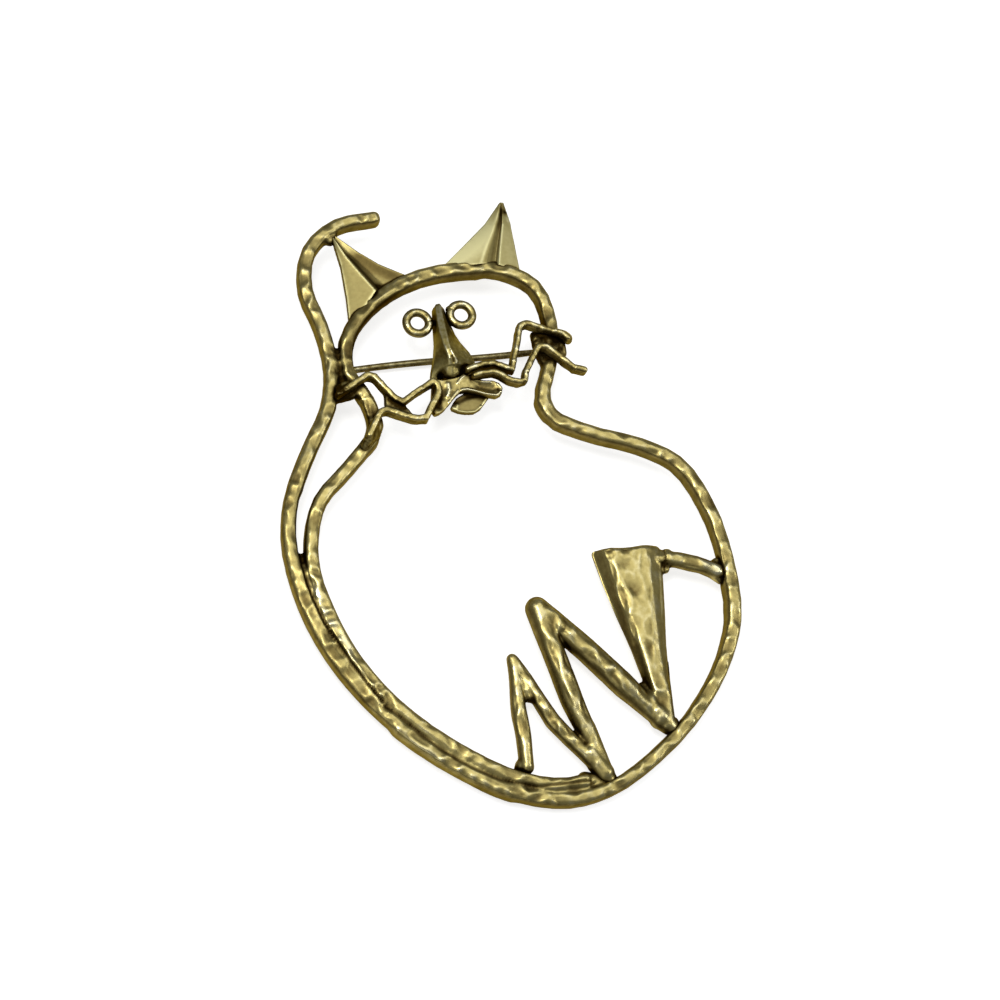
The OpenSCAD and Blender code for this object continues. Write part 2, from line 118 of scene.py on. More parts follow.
class Metalwork:
    """Mesh steps that the pieces share, all in the cat's plane."""

    @staticmethod
    def copy_node(node: str) -> bpy.types.Mesh:
        """Copy a CAD node's mesh, merged, into the cat's plane.

        Args:
            node: the node's name.

        Returns:
            The copy.
        """
        bm = bmesh.new()
        bm.from_mesh(frame["nodes"][node].data)
        bmesh.ops.transform(bm, matrix=CAT.lay.inverted(), verts=bm.verts)
        bmesh.ops.remove_doubles(bm, verts=bm.verts, dist=1e-3)
        return Metalwork.close(bm, node)

    @staticmethod
    def close(bm: bmesh.types.BMesh, name: str) -> bpy.types.Mesh:
        """Turn a bmesh into a mesh and free it.

        Args:
            bm: the bmesh.
            name: the mesh's name.

        Returns:
            The mesh.
        """
        mesh = bpy.data.meshes.new(name)
        bm.to_mesh(mesh)
        bm.free()
        return mesh

    @staticmethod
    def join(meshes: Sequence[bpy.types.Mesh], name: str) -> bpy.types.Mesh:
        """Join meshes that overlap or touch into one mesh.

        Args:
            meshes: the meshes, used up here.
            name: the new mesh's name.

        Returns:
            The joined mesh.
        """
        bm = bmesh.new()
        for mesh in meshes:
            bm.from_mesh(mesh)
            bpy.data.meshes.remove(mesh)
        return Metalwork.close(bm, name)

    @staticmethod
    def filling(balls: Sequence[Ball]) -> bpy.types.Mesh:
        """Draw one tight skin round a few balls.

        Args:
            balls: x, y, z and radius of each.

        Returns:
            The closed skin.
        """
        bm = bmesh.new()
        for x, y, z, r in balls:
            bmesh.ops.create_icosphere(bm, subdivisions=3, radius=r, matrix=Matrix.Translation((x, y, z)))
        made = bmesh.ops.convex_hull(bm, input=bm.verts[:])
        inside = made["geom_interior"] + made["geom_unused"]
        loose = {part for part in inside if isinstance(part, bmesh.types.BMVert)}
        bmesh.ops.delete(bm, geom=list(loose), context="VERTS")
        return Metalwork.close(bm, "filling")

    @staticmethod
    def remesh(mesh: bpy.types.Mesh, voxel: float) -> bpy.types.Mesh:
        """Draw one even skin round closed meshes.

        Args:
            mesh: the closed mesh, used up here.
            voxel: size of the even squares.

        Returns:
            The new skin.
        """
        piece = bpy.data.objects.new("melt", mesh)
        bpy.context.scene.collection.objects.link(piece)
        step = piece.modifiers.new("skin", "REMESH")
        step.mode = "VOXEL"
        step.voxel_size = voxel
        seen = piece.evaluated_get(bpy.context.evaluated_depsgraph_get())
        skin = bpy.data.meshes.new_from_object(seen)
        bpy.data.objects.remove(piece)
        bpy.data.meshes.remove(mesh)
        return skin

    @staticmethod
    def melt(mesh: bpy.types.Mesh, voxel: float, smooth: int, weld: float = 0.0) -> bpy.types.Mesh:
        """Melt a closed mesh into one even skin, with its slits and crotches filled.

        Args:
            mesh: the closed mesh, used up here.
            voxel: size of the even squares.
            smooth: smoothing passes after it.
            weld: radius of the fillets, or 0 for none.

        Returns:
            The new skin.
        """
        skin = Metalwork.remesh(mesh, voxel)
        if weld:
            Metalwork.grow(skin, weld)
            skin = Metalwork.remesh(skin, voxel)
            Metalwork.grow(skin, -weld)
        Metalwork.relax(skin, smooth)
        return skin

    @staticmethod
    def grow(mesh: bpy.types.Mesh, by: float) -> None:
        """Move a skin outwards.

        Args:
            mesh: the mesh.
            by: how far, or less than 0 for inwards.
        """
        Metalwork.set_points(mesh, Metalwork.points(mesh) + by * Metalwork.normals(mesh))

    @staticmethod
    def points(mesh: bpy.types.Mesh) -> np.ndarray:
        """Give a mesh's points as rows of x, y and z."""
        co = np.empty(len(mesh.vertices) * 3)
        mesh.vertices.foreach_get("co", co)
        return co.reshape(-1, 3)

    @staticmethod
    def normals(mesh: bpy.types.Mesh) -> np.ndarray:
        """Give a mesh's normals as rows of x, y and z."""
        no = np.empty(len(mesh.vertices) * 3, dtype=np.float32)
        mesh.vertex_normals.foreach_get("vector", no)
        return no.reshape(-1, 3).astype(float)

    @staticmethod
    def set_points(mesh: bpy.types.Mesh, co: np.ndarray) -> None:
        """Move a mesh's points.

        Args:
            mesh: the mesh.
            co: the new points.
        """
        mesh.vertices.foreach_set("co", co.ravel())
        mesh.update()

    @staticmethod
    def edges(mesh: bpy.types.Mesh) -> np.ndarray:
        """Give a mesh's edges as rows of two point numbers."""
        ends = np.empty(len(mesh.edges) * 2, dtype=np.int64)
        mesh.edges.foreach_get("vertices", ends)
        return ends.reshape(-1, 2)

    @staticmethod
    def spread(values: np.ndarray, ends: np.ndarray) -> np.ndarray:
        """Average each point's value over its neighbours.

        Args:
            values: one row a point.
            ends: the mesh's edges.

        Returns:
            The averaged values.
        """
        count = np.bincount(ends.ravel(), minlength=len(values)).astype(float)
        total = np.zeros_like(values)
        for a, b in ((0, 1), (1, 0)):
            for k in range(values.shape[1]):
                others = values[ends[:, b], k]
                total[:, k] += np.bincount(ends[:, a], weights=others, minlength=len(values))
        return total / np.maximum(count, 1.0)[:, None]

    @staticmethod
    def even_out(values: np.ndarray, ends: np.ndarray, passes: int) -> np.ndarray:
        """Average one number a point over its neighbours, several times.

        Args:
            values: one number a point.
            ends: the mesh's edges.
            passes: how many times.

        Returns:
            The averaged numbers.
        """
        for _ in range(passes):
            values = Metalwork.spread(values[:, None], ends)[:, 0]
        return values

    @staticmethod
    def relax(mesh: bpy.types.Mesh, passes: int) -> None:
        """Smooth a mesh without shrinking it.

        Args:
            mesh: the mesh.
            passes: how often each point moves towards its neighbours and back out.
        """
        inwards, outwards = 0.5, 0.53
        co, ends = Metalwork.points(mesh), Metalwork.edges(mesh)
        for _ in range(passes):
            co += inwards * (Metalwork.spread(co, ends) - co)
            co -= outwards * (Metalwork.spread(co, ends) - co)
        Metalwork.set_points(mesh, co)


@dataclass(frozen=True)
class Hammering:
    """Dents left by a small hammer, as cells with a tilt and a hollow of their own.

    Attributes:
        cell: size of a dent.
        hollow: depth of a dent below its edges.
        tilt: rise of a dent from one side to the other.
        stretch: how much longer dents are along Y than along X.
        seed: shift of the pattern.
        rim: width of the soft rim between dents, as a share of the cell.
    """

    cell: float
    hollow: float
    tilt: float
    stretch: float = 1.0
    seed: float = 0.0
    rim: float = 0.3

    def depth(self, co: np.ndarray) -> np.ndarray:
        """Give how far each point goes in.

        Args:
            co: the points.

        Returns:
            One depth a point, more below zero for deeper.
        """
        out = np.empty(len(co))
        shift = Vector((self.seed, 3.1, 1.7))
        for i, (x, y, z) in enumerate(co):
            p = Vector((x / self.cell, y / (self.cell * self.stretch), z / self.cell)) + shift
            far, near = noise.voronoi(p)
            home = near[0]
            lean = noise.cell_vector(home * 7.3) - Vector((0.5, 0.5, 0.5))
            edge = min(1.0, (far[1] - far[0]) / self.rim)
            edge = edge * edge * (3.0 - 2.0 * edge)
            bowl = self.hollow * (1.0 - min(1.0, far[0] / 0.75) ** 2)
            out[i] = -edge * (bowl + self.tilt * (0.45 + lean.dot(p - home) * 1.6))
        return out


def wander(co: np.ndarray, size: float, seed: float) -> np.ndarray:
    """Give a soft random value from about -1 to 1 at each point.

    Args:
        co: the points.
        size: size of the patches.
        seed: shift of the pattern.

    Returns:
        One value a point.
    """
    shift = Vector((seed, seed * 0.37, -seed))
    return np.array([noise.fractal(Vector(p) / size + shift, 1.0, 2.0, 2) for p in co])


def nearness(co: np.ndarray, ball: Ball) -> np.ndarray:
    """Give how near each point is to a ball's middle, as distances over its radius."""
    return np.linalg.norm(co - np.array(ball[:3]), axis=1) / ball[3]


@dataclass(frozen=True)
class Stroke:
    """One line drawn from above along a path, for tool marks, dark lines, painted highlights and painted
    shade.

    Attributes:
        path: its points in the cat's plane.
        width: how far it reaches to each side.
        wear_and_painted_light: how much brighter it makes the place, or less than 0 for darker, painted
            light and shade included.
        lift: how far it stands up, or less than 0 for a groove.
        walls: whether it marks the walls below it too.
    """

    path: Path
    width: float
    wear_and_painted_light: float = 0.0
    lift: float = 0.0
    walls: bool = False

    def share(self, co: np.ndarray) -> np.ndarray:
        """Give how much each point belongs to the stroke.

        Args:
            co: the points.

        Returns:
            One share a point, 1 on the path.
        """
        near = np.full(len(co), np.inf)
        for start, end in zip(self.path, self.path[1:]):
            a, way = np.array(start), np.array(end) - np.array(start)
            along = np.clip((co[:, :2] - a) @ way / (way @ way), 0.0, 1.0)
            near = np.minimum(near, np.linalg.norm(co[:, :2] - a - along[:, None] * way, axis=1))
        return np.exp(-(near / self.width) ** 2)


@dataclass(frozen=True)
class Nudge:
    """One bend: it moves what lies near a place.

    Attributes:
        x: place in the cat's plane.
        y: place in the cat's plane.
        reach: how far it acts.
        dx: move along X.
        dy: move along Y.
    """

    x: float
    y: float
    reach: float
    dx: float = 0.0
    dy: float = 0.0

    def move(self, co: np.ndarray) -> None:
        """Move the points, in place.

        Args:
            co: the points.
        """
        share = np.exp(-((co[:, 0] - self.x) ** 2 + (co[:, 1] - self.y) ** 2) / self.reach ** 2)
        co[:, 0] += self.dx * share
        co[:, 1] += self.dy * share


@dataclass(frozen=True)
class GoldFinish:
    """One antiqued gold finish, read from each piece's own attribute of rubbing, patina, painted highlights
    and painted shade.

    Attributes:
        name: the material's name.
        deep: colour where the patina is thickest and the painted shade darkest.
        shade: colour of walls and hollows.
        body: colour of the plain metal.
        crest: colour where the metal is rubbed bright and where highlights are painted.
        edge: tint of the metal seen at a low angle.
        rough: roughness of the rubbed metal.
        rough_deep: roughness of the patina.
        grain: size of the fine grain in millimetres.
        grain_depth: strength of the fine grain.
        mottle: how much the colour wanders.
        cloud: size of the patches in which it wanders.
        speck: size of the specks between them.
    """

    name: str
    deep: Colour = (0.026, 0.014, 0.002)
    shade: Colour = (0.185, 0.138, 0.044)
    body: Colour = (0.490, 0.405, 0.150)
    crest: Colour = (0.920, 0.860, 0.560)
    edge: Colour = (0.62, 0.52, 0.32)
    rough: float = 0.22
    rough_deep: float = 0.55
    grain: float = 0.16
    grain_depth: float = 0.25
    mottle: float = 0.11
    cloud: float = 1.1
    speck: float = 0.22

    def make(self) -> bpy.types.Material:
        """Build the material's nodes, once.

        Returns:
            The material.
        """
        if self.name in bpy.data.materials:
            return bpy.data.materials[self.name]
        material = bpy.data.materials.new(self.name)
        material.use_nodes = True
        tree = material.node_tree
        tree.nodes.clear()
        node, link = tree.nodes.new, tree.links.new
        # the attribute mixes rubbing and patina with painted highlights and painted shade
        wear_and_painted_light = node("ShaderNodeAttribute")
        wear_and_painted_light.attribute_name = "wear_and_painted_light"
        place = node("ShaderNodeTexCoord")
        cloud = self.noise(tree, place, self.cloud, 3.0)
        speck = self.noise(tree, place, self.speck, 4.0)
        grain = self.noise(tree, place, self.grain, 3.0)
        both = self.math(tree, "ADD", cloud.outputs["Fac"], speck.outputs["Fac"])
        centred = self.math(tree, "SUBTRACT", both, 1.0)
        wander_by = self.math(tree, "MULTIPLY", centred, self.mottle)
        level = self.math(tree, "ADD", wear_and_painted_light.outputs["Fac"], wander_by)
        colours = node("ShaderNodeValToRGB")
        steps = ((0.0, self.deep), (0.28, self.shade), (0.58, self.body), (0.92, self.crest))
        while len(colours.color_ramp.elements) < len(steps):
            colours.color_ramp.elements.new(0.5)
        for stop, (at, colour) in zip(colours.color_ramp.elements, steps):
            stop.position = at
            stop.color = (*colour, 1.0)
        link(level, colours.inputs["Fac"])
        rough = node("ShaderNodeMapRange")
        rough.inputs["From Min"].default_value = 0.05
        rough.inputs["From Max"].default_value = 0.85
        rough.inputs["To Min"].default_value = self.rough_deep
        rough.inputs["To Max"].default_value = self.rough
        link(level, rough.inputs["Value"])
        bump = node("ShaderNodeBump")
        bump.inputs["Strength"].default_value = self.grain_depth
        bump.inputs["Distance"].default_value = 0.2 * self.grain / PER_METRE
        link(grain.outputs["Fac"], bump.inputs["Height"])
        shader = node("ShaderNodeBsdfPrincipled")
        shader.inputs["Metallic"].default_value = 1.0
        shader.inputs["Specular Tint"].default_value = (*self.edge, 1.0)
        link(colours.outputs["Color"], shader.inputs["Base Color"])
        link(rough.outputs["Result"], shader.inputs["Roughness"])
        link(bump.outputs["Normal"], shader.inputs["Normal"])
        end = node("ShaderNodeOutputMaterial")
        link(shader.outputs["BSDF"], end.inputs["Surface"])
        return material

    @staticmethod
    def noise(tree: bpy.types.NodeTree, place: bpy.types.Node, size: float,
              detail: float) -> bpy.types.Node:
        """Add a noise of a given size in millimetres.

        Args:
            tree: the material's tree.
            place: the coordinates' node.
            size: size of the patches.
            detail: levels of finer patches.

        Returns:
            The noise node.
        """
        made = tree.nodes.new("ShaderNodeTexNoise")
        made.inputs["Scale"].default_value = PER_METRE / size
        made.inputs["Detail"].default_value = detail
        tree.links.new(place.outputs["Object"], made.inputs["Vector"])
        return made

    @staticmethod
    def math(tree: bpy.types.NodeTree, kind: str, a: bpy.types.NodeSocket,
             b: bpy.types.NodeSocket | float) -> bpy.types.NodeSocket:
        """Add a sum of two values.

        Args:
            tree: the material's tree.
            kind: the operation.
            a: the first value.
            b: the second value, or a number.

        Returns:
            The result's socket.
        """
        made = tree.nodes.new("ShaderNodeMath")
        made.operation = kind
        tree.links.new(a, made.inputs[0])
        if isinstance(b, (int, float)):
            made.inputs[1].default_value = b
        else:
            tree.links.new(b, made.inputs[1])
        return made.outputs[0]


HAMMERED = GoldFinish("hammered_gold")
SATIN = GoldFinish("satin_gold", body=(0.520, 0.440, 0.170), crest=(0.965, 0.895, 0.460),
                   rough=0.38, grain=0.08, grain_depth=0.16, mottle=0.03)
OLIVE = GoldFinish("olive_gold", shade=(0.170, 0.124, 0.032), body=(0.400, 0.335, 0.120),
                   crest=(0.86, 0.79, 0.50), rough=0.31, grain=0.10, grain_depth=0.20, mottle=0.03)
WIRE = GoldFinish("pin_wire_gold", body=(0.36, 0.31, 0.15), crest=(0.62, 0.56, 0.34),
                  rough=0.28, mottle=0.08)
FITTING = GoldFinish("fitting_gold", body=(0.42, 0.35, 0.14), crest=(0.70, 0.62, 0.33),
                     rough=0.34, mottle=0.12)


@dataclass
class Piece:
    """A finished piece of the brooch, in the cat's plane until it is laid.

    Attributes:
        name: the piece's name.
        nodes: the CAD nodes that it stands for.
        finish: its metal.
        body: the body that it rides on.
        slot: the record's slot.
        darkening: how dark the whole piece is.
        scars: dark spots: x, y, z and radius.
        strokes: tool marks, dark lines, painted highlights and painted shade on its top.
        nudges: bends put in before the strokes.
        clouds: how unevenly it is rubbed, with its relief or without.
        calm: how often its fine bulges are evened out before they are rubbed.
    """

    name: str
    nodes: tuple[str, ...]
    finish: GoldFinish
    body: Body = Body.BROOCH
    slot: MetalSlot = MetalSlot.GOLD
    darkening: float = 0.0
    scars: tuple[Ball, ...] = ()
    strokes: tuple[Stroke, ...] = ()
    nudges: tuple[Nudge, ...] = ()
    clouds: float = 1.0
    calm: int = 1
    mesh: bpy.types.Mesh = field(init=False)
    relief: np.ndarray = field(init=False)

    def form(self) -> bpy.types.Mesh:
        """Make the piece's mesh. Each kind of piece has its own."""
        raise NotImplementedError

    def build(self) -> "Piece":
        """Make the mesh and name it.

        Returns:
            The piece itself.
        """
        self.mesh = self.form()
        self.carve()
        self.mesh.name = self.name
        LOG.info("%s: %d points", self.name, len(self.mesh.vertices))
        return self

    def carve(self) -> None:
        """Bend the piece, then raise and sink the strokes on its top."""
        if self.nudges:
            co = Metalwork.points(self.mesh)
            for nudge in self.nudges:
                nudge.move(co)
            Metalwork.set_points(self.mesh, co)
        raised = [stroke for stroke in self.strokes if stroke.lift]
        if raised:
            co, no = Metalwork.points(self.mesh), Metalwork.normals(self.mesh)
            top = ramp(no[:, 2], 0.0, 0.35)
            for stroke in raised:
                co[:, 2] += stroke.lift * stroke.share(co) * top
            Metalwork.set_points(self.mesh, co)
            Metalwork.relax(self.mesh, 1)

    def lay_down(self) -> None:
        self.mesh.transform(CAT.lay)
        co = Metalwork.points(self.mesh)
        co[:, 2] = np.maximum(co[:, 2], 0.0)
        Metalwork.set_points(self.mesh, co)
        self.mesh.materials.clear()
        self.mesh.materials.append(self.finish.make())
        self.mesh.polygons.foreach_set("use_smooth", np.ones(len(self.mesh.polygons), dtype=bool))
        made = bpy.data.objects.new(self.name, self.mesh)
        bpy.context.scene.collection.objects.link(made)
        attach(made, self.body.value)
        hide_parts(*self.nodes)


@dataclass
class CastPiece(Piece):
    """A piece whose CAD solid is melted into one skin, then hammered and worn.

    Attributes:
        voxel: size of the skin's squares.
        smooth: smoothing passes.
        webs: fillings, each a tight skin round a few balls.
        weld: radius of the fillets.
        swell: how much thicker it is made all round.
        swells: paths along which it is made thicker by their lift.
        soften: passes that round off its corners.
        hammering: the dents, coarse first.
        rough_size: size of the casting's unevenness.
        rough_depth: depth of the casting's unevenness.
        grit: places of rough solder: x, y, z and radius.
        grit_size: size of its lumps.
        grit_depth: depth of its lumps.
    """

    voxel: float = 0.1
    smooth: int = 3
    webs: tuple[tuple[Ball, ...], ...] = ()
    weld: float = 0.0
    swell: float = 0.0
    swells: tuple[Stroke, ...] = ()
    soften: int = 0
    hammering: tuple[Hammering, ...] = ()
    rough_size: float = 0.7
    rough_depth: float = 0.02
    grit: tuple[Ball, ...] = ()
    grit_size: float = 0.55
    grit_depth: float = 0.13

    def blank(self) -> bpy.types.Mesh:
        """Give the closed mesh that is melted."""
        parts = [Metalwork.copy_node(node) for node in self.nodes]
        parts += [Metalwork.filling(web) for web in self.webs]
        return Metalwork.join(parts, self.name)

    def form(self) -> bpy.types.Mesh:
        """Melt, hammer and roughen the blank.

        Returns:
            The mesh.
        """
        skin = Metalwork.melt(self.blank(), self.voxel, self.smooth, self.weld)
        ends = Metalwork.edges(skin)
        co = Metalwork.points(skin)
        for _ in range(self.soften):
            co = Metalwork.spread(co, ends)
        Metalwork.set_points(skin, co)
        no = Metalwork.normals(skin)
        push = self.rough_depth * wander(co, self.rough_size, 5.0)
        for blow in self.hammering:
            dents = blow.depth(co)
            push += (dents - np.median(dents)) * self.struck(co, no)
        push = Metalwork.even_out(push, ends, 1)
        for lump in self.grit:
            share = self.grit_depth * np.exp(-nearness(co, lump) ** 2)
            push += share * (wander(co, self.grit_size, 13.0) - 0.15)
        self.relief = push
        thicker = self.swell + sum(stroke.lift * stroke.share(co) for stroke in self.swells)
        Metalwork.set_points(skin, self.bend(co + no * (push + thicker)[:, None]))
        Metalwork.relax(skin, 1)
        return skin

    def struck(self, co: np.ndarray, no: np.ndarray) -> np.ndarray:
        """Give how hard each point is struck, from 0 to 1."""
        return ramp(no[:, 2], -0.9, 0.3)

    def bend(self, co: np.ndarray) -> np.ndarray:
        """Give the points after the piece is bent, here as they are."""
        return co


def beside(path: Path, dx: float, dy: float) -> Path:
    """Shift a path, and keep it to a tenth of a millimetre."""
    return tuple((round(x + dx, 1), round(y + dy, 1)) for x, y in path)


GROOVE: Path = (
    (-29.4, -6.8), (-29.2, -9.1), (-28.6, -11.6), (-27.8, -14.6), (-26.8, -16.8), (-25.4, -20.1),
    (-23.7, -23.5), (-22.1, -26.2),
)


@dataclass
class OutlineBar(CastPiece):
    """The hammered bar that draws tail, body and head."""

    name: str = "hammered_outline"
    nodes: tuple[str, ...] = ("outline",)
    finish: GoldFinish = HAMMERED
    voxel: float = 0.203
    smooth: int = 1
    weld: float = 0.25
    swell: float = 0.11
    rough_depth: float = 0.012
    webs: tuple[tuple[Ball, ...], ...] = (
        # where the left ear's tip meets the tail
        (
            (-16.9, 42.9, 1.5, 0.75), (-16.8, 41.8, 1.6, 0.65), (-17.7, 42.4, 1.5, 0.75),
            (-16.3, 42.3, 1.6, 0.6),
        ),
        # between the two strands, low on the left
        ((-23.2, -26.0, 1.3, 0.75), (-21.4, -27.3, 1.4, 0.85), (-19.6, -28.3, 1.2, 0.7)),
        # the solder on the head's right side, under the right whiskers
        (
            (10.0, 23.9, 1.9, 0.5), (11.5, 23.6, 2.2, 0.9), (13.4, 22.0, 1.7, 1.0),
            (13.6, 20.9, 1.5, 0.8), (10.3, 21.2, 2.1, 0.9), (10.8, 19.6, 1.6, 0.7),
            (12.3, 21.2, 2.2, 0.8),
        ),
        # the solder between tail and head, by the left whiskers
        (
            (-19.4, 18.4, 1.8, 0.9), (-18.2, 19.2, 1.7, 0.8), (-19.8, 17.8, 1.6, 0.8),
            (-18.2, 17.9, 2.1, 0.8),
        ),
        ((-19.0, 20.6, 1.1, 0.8), (-19.3, 18.9, 1.1, 0.8)),
        # the inner strand's end, at the bottom
        ((3.3, -40.5, 1.3, 0.85), (5.2, -41.2, 1.3, 0.85), (6.5, -42.0, 1.3, 0.8)),
    )
    swells: tuple[Stroke, ...] = (
        Stroke((
            (-17.4, 26.0), (-15.9, 28.2), (-12.8, 30.7), (-9.5, 32.4), (-4.8, 33.8), (-0.1, 34.4),
            (3.6, 34.4),
        ), 0.9, lift=0.26),
        Stroke(((-21.0, -30.5), (-17.0, -34.8), (-12.3, -38.7), (-7.3, -41.4)), 0.9, lift=0.26),
        Stroke((
            (29.6, -16.6), (28.7, -20.2), (26.6, -24.3), (23.2, -28.5), (20.7, -31.4),
        ), 0.9, lift=0.22),
        Stroke(((8.3, 13.7), (8.1, 11.3), (8.9, 9.7), (10.9, 8.4)), 0.9, lift=0.22),
        Stroke(((-21.0, 16.1), (-23.6, 11.9), (-26.0, 8.4), (-27.7, 5.0)), 0.9, lift=0.18),
        Stroke(((-14.7, 13.1), (-15.1, 10.9), (-16.4, 9.3)), 0.9, lift=0.18),
    )
    hammering: tuple[Hammering, ...] = (
        Hammering(2.5, 0.14, 0.16, 1.0, 2.0, 0.45),
        Hammering(1.2, 0.01, 0.02, 1.0, 7.0, 0.5),
    )
    grit: tuple[Ball, ...] = (
        (11.4, 23.0, 2.6, 1.3), (10.4, 20.8, 2.4, 1.3), (9.8, 22.6, 2.4, 1.1), (12.8, 21.6, 2.4, 1.1),
        (-19.2, 18.3, 2.4, 1.4), (-19.4, 21.6, 2.0, 1.4), (-19.6, 24.5, 2.0, 1.2),
        (-17.0, 16.6, 2.4, 1.5), (-16.5, 14.2, 2.4, 1.5), (-21.6, -27.3, 2.2, 1.0),
        (6.4, -41.6, 2.0, 0.9),
    )
    strokes: tuple[Stroke, ...] = (
        # the groove between the two strands: its hollow filled, then one fine dark line
        Stroke(GROOVE, 0.5, 0.06, 0.35),
        Stroke(GROOVE, 0.17, -0.6, -0.3),
        # a painted highlight along the edge right of the groove
        Stroke(beside(GROOVE[1:6], 0.75, 0.3), 0.38, 0.26),
        # a painted highlight on the outer edge and its wall, on the left and below
        Stroke((
            (-30.4, 1.0), (-31.1, -4.6), (-30.9, -11.1), (-29.2, -17.6), (-26.1, -24.3), (-22.3, -29.7),
            (-17.7, -34.3), (-12.4, -38.6),
        ), 0.7, 0.1, walls=True),
        # painted shade on the top of the outer strand, beside the groove
        Stroke((
            (-27.1, 7.4), (-29.1, 3.3), (-30.4, -0.9), (-30.7, -5.8), (-30.3, -10.6), (-29.3, -15.5),
            (-27.0, -20.8), (-23.9, -26.0),
        ), 0.95, -0.15),
        # the fine lower part of the groove, to the inner strand's end
        Stroke((
            (-21.9, -26.8), (-20.2, -28.5), (-18.5, -30.5), (-15.7, -33.7), (-12.2, -36.7), (-8.5, -39.0),
            (-3.3, -40.8), (3.7, -41.1),
        ), 0.22, -0.38, -0.12),
        # the lighter place where the strut is soldered on
        Stroke(((29.0, -13.4), (29.8, -14.6), (29.2, -16.0)), 0.8, 0.22, walls=True),
        # painted shade on the inner side of the head and its wall
        Stroke((
            (-17.0, 23.0), (-16.5, 25.7), (-14.9, 27.9), (-12.8, 29.5), (-9.8, 31.2), (-5.9, 32.2),
            (-1.3, 32.7), (3.2, 32.8), (7.4, 32.3), (9.6, 30.7), (11.0, 28.0), (11.5, 25.0),
        ), 0.95, -0.3, walls=True),
        # the dark seam between tail and head, and the darker neck below it
        Stroke(((-19.0, 25.0), (-19.3, 22.0), (-19.4, 19.8)), 0.5, -0.25),
        Stroke(((-18.0, 17.6), (-17.2, 15.6), (-16.7, 13.4)), 0.55, -0.18),
        Stroke(((-16.0, 16.8), (-15.7, 14.4)), 0.4, -0.15),
    )
    scars: tuple[Ball, ...] = (
        (11.4, 23.2, 2.6, 1.3), (10.6, 20.6, 2.4, 1.2), (12.6, 21.6, 2.4, 1.3), (9.6, 22.4, 2.2, 0.8),
        (-18.8, 18.3, 2.6, 1.3), (-20.0, 17.8, 2.4, 1.1), (30.9, -4.8, 1.6, 0.9), (-16.4, 41.0, 1.6, 0.8),
        (-14.0, 8.0, 2.4, 1.0),
    )

    def struck(self, co: np.ndarray, no: np.ndarray) -> np.ndarray:
        """Strike the bar's top, and hardly its sides and back.

        Args:
            co: the points.
            no: their normals.

        Returns:
            One share a point.
        """
        return 0.12 + 0.88 * ramp(no[:, 2], 0.45, 0.90)


@dataclass
class EyeRing(CastPiece):
    """A split ring of wire, soldered to the nose."""

    finish: GoldFinish = HAMMERED
    voxel: float = 0.07
    weld: float = 0.08
    swell: float = 0.05


@dataclass
class LeftEye(EyeRing):
    """The left eye, soldered to the nose."""

    name: str = "left_eye_ring"
    nodes: tuple[str, ...] = ("eye_left",)
    webs: tuple[tuple[Ball, ...], ...] = (((-4.7, 27.3, 2.3, 0.45), (-5.2, 27.5, 2.4, 0.45)),)
    scars: tuple[Ball, ...] = ((-5.0, 27.0, 2.6, 0.35),)


@dataclass
class RightEye(EyeRing):
    """The right eye, soldered to the nose."""

    name: str = "right_eye_ring"
    nodes: tuple[str, ...] = ("eye_right",)
    webs: tuple[tuple[Ball, ...], ...] = (
        ((-2.35, 28.0, 2.2, 0.5), (-1.9, 27.9, 2.3, 0.5), (-2.1, 26.9, 2.2, 0.42)),
        ((-1.75, 28.9, 2.6, 0.55),),
    )
    scars: tuple[Ball, ...] = ((-1.3, 29.4, 2.7, 0.3), (-2.4, 27.4, 2.4, 0.45))


@dataclass
class Whisker(CastPiece):
    """A bent strip on edge, with rounded corners."""

    finish: GoldFinish = HAMMERED
    voxel: float = 0.08
    smooth: int = 2
    swell: float = 0.14
    soften: int = 14
    rough_depth: float = 0.03
    darkening: float = 0.04


@dataclass
class LeftWhiskers(Whisker):
    """The left pair of whiskers, soldered to the bar in two places."""

    name: str = "left_whiskers"
    nodes: tuple[str, ...] = ("whiskers_left",)
    voxel: float = 0.085
    weld: float = 0.12
    swell: float = 0.13
    hammering: tuple[Hammering, ...] = (Hammering(1.6, 0.02, 0.04, 1.0, 3.0),)
    webs: tuple[tuple[Ball, ...], ...] = (
        ((-19.6, 18.3, 3.1, 0.75), (-19.0, 18.6, 3.2, 0.75)),
        (
            (-17.2, 10.6, 3.6, 0.5), (-16.2, 12.4, 3.7, 0.5), (-17.9, 9.6, 2.5, 0.5),
            (-15.9, 11.3, 2.5, 0.55),
        ),
    )
    nudges: tuple[Nudge, ...] = (
        Nudge(-8.6, 14.2, 2.2, 0.0, 0.32),
        Nudge(-6.6, 15.5, 1.6, 0.3, 0.0),
        Nudge(-8.9, 11.9, 1.1, 0.05, 0.4),
    )
    grit: tuple[Ball, ...] = ((-19.8, 18.0, 3.7, 1.0), (-17.4, 10.4, 3.0, 0.9))
    scars: tuple[Ball, ...] = (
        (-12.4, 15.3, 3.7, 0.9), (-13.3, 15.9, 3.7, 0.6), (-11.4, 14.5, 3.7, 0.7),
        (-20.4, 17.6, 4.3, 0.8), (-19.8, 18.0, 4.3, 0.6), (-20.0, 17.9, 3.2, 1.0), (-8.6, 14.8, 2.2, 0.9),
        (-7.2, 16.6, 2.4, 0.6),
    )


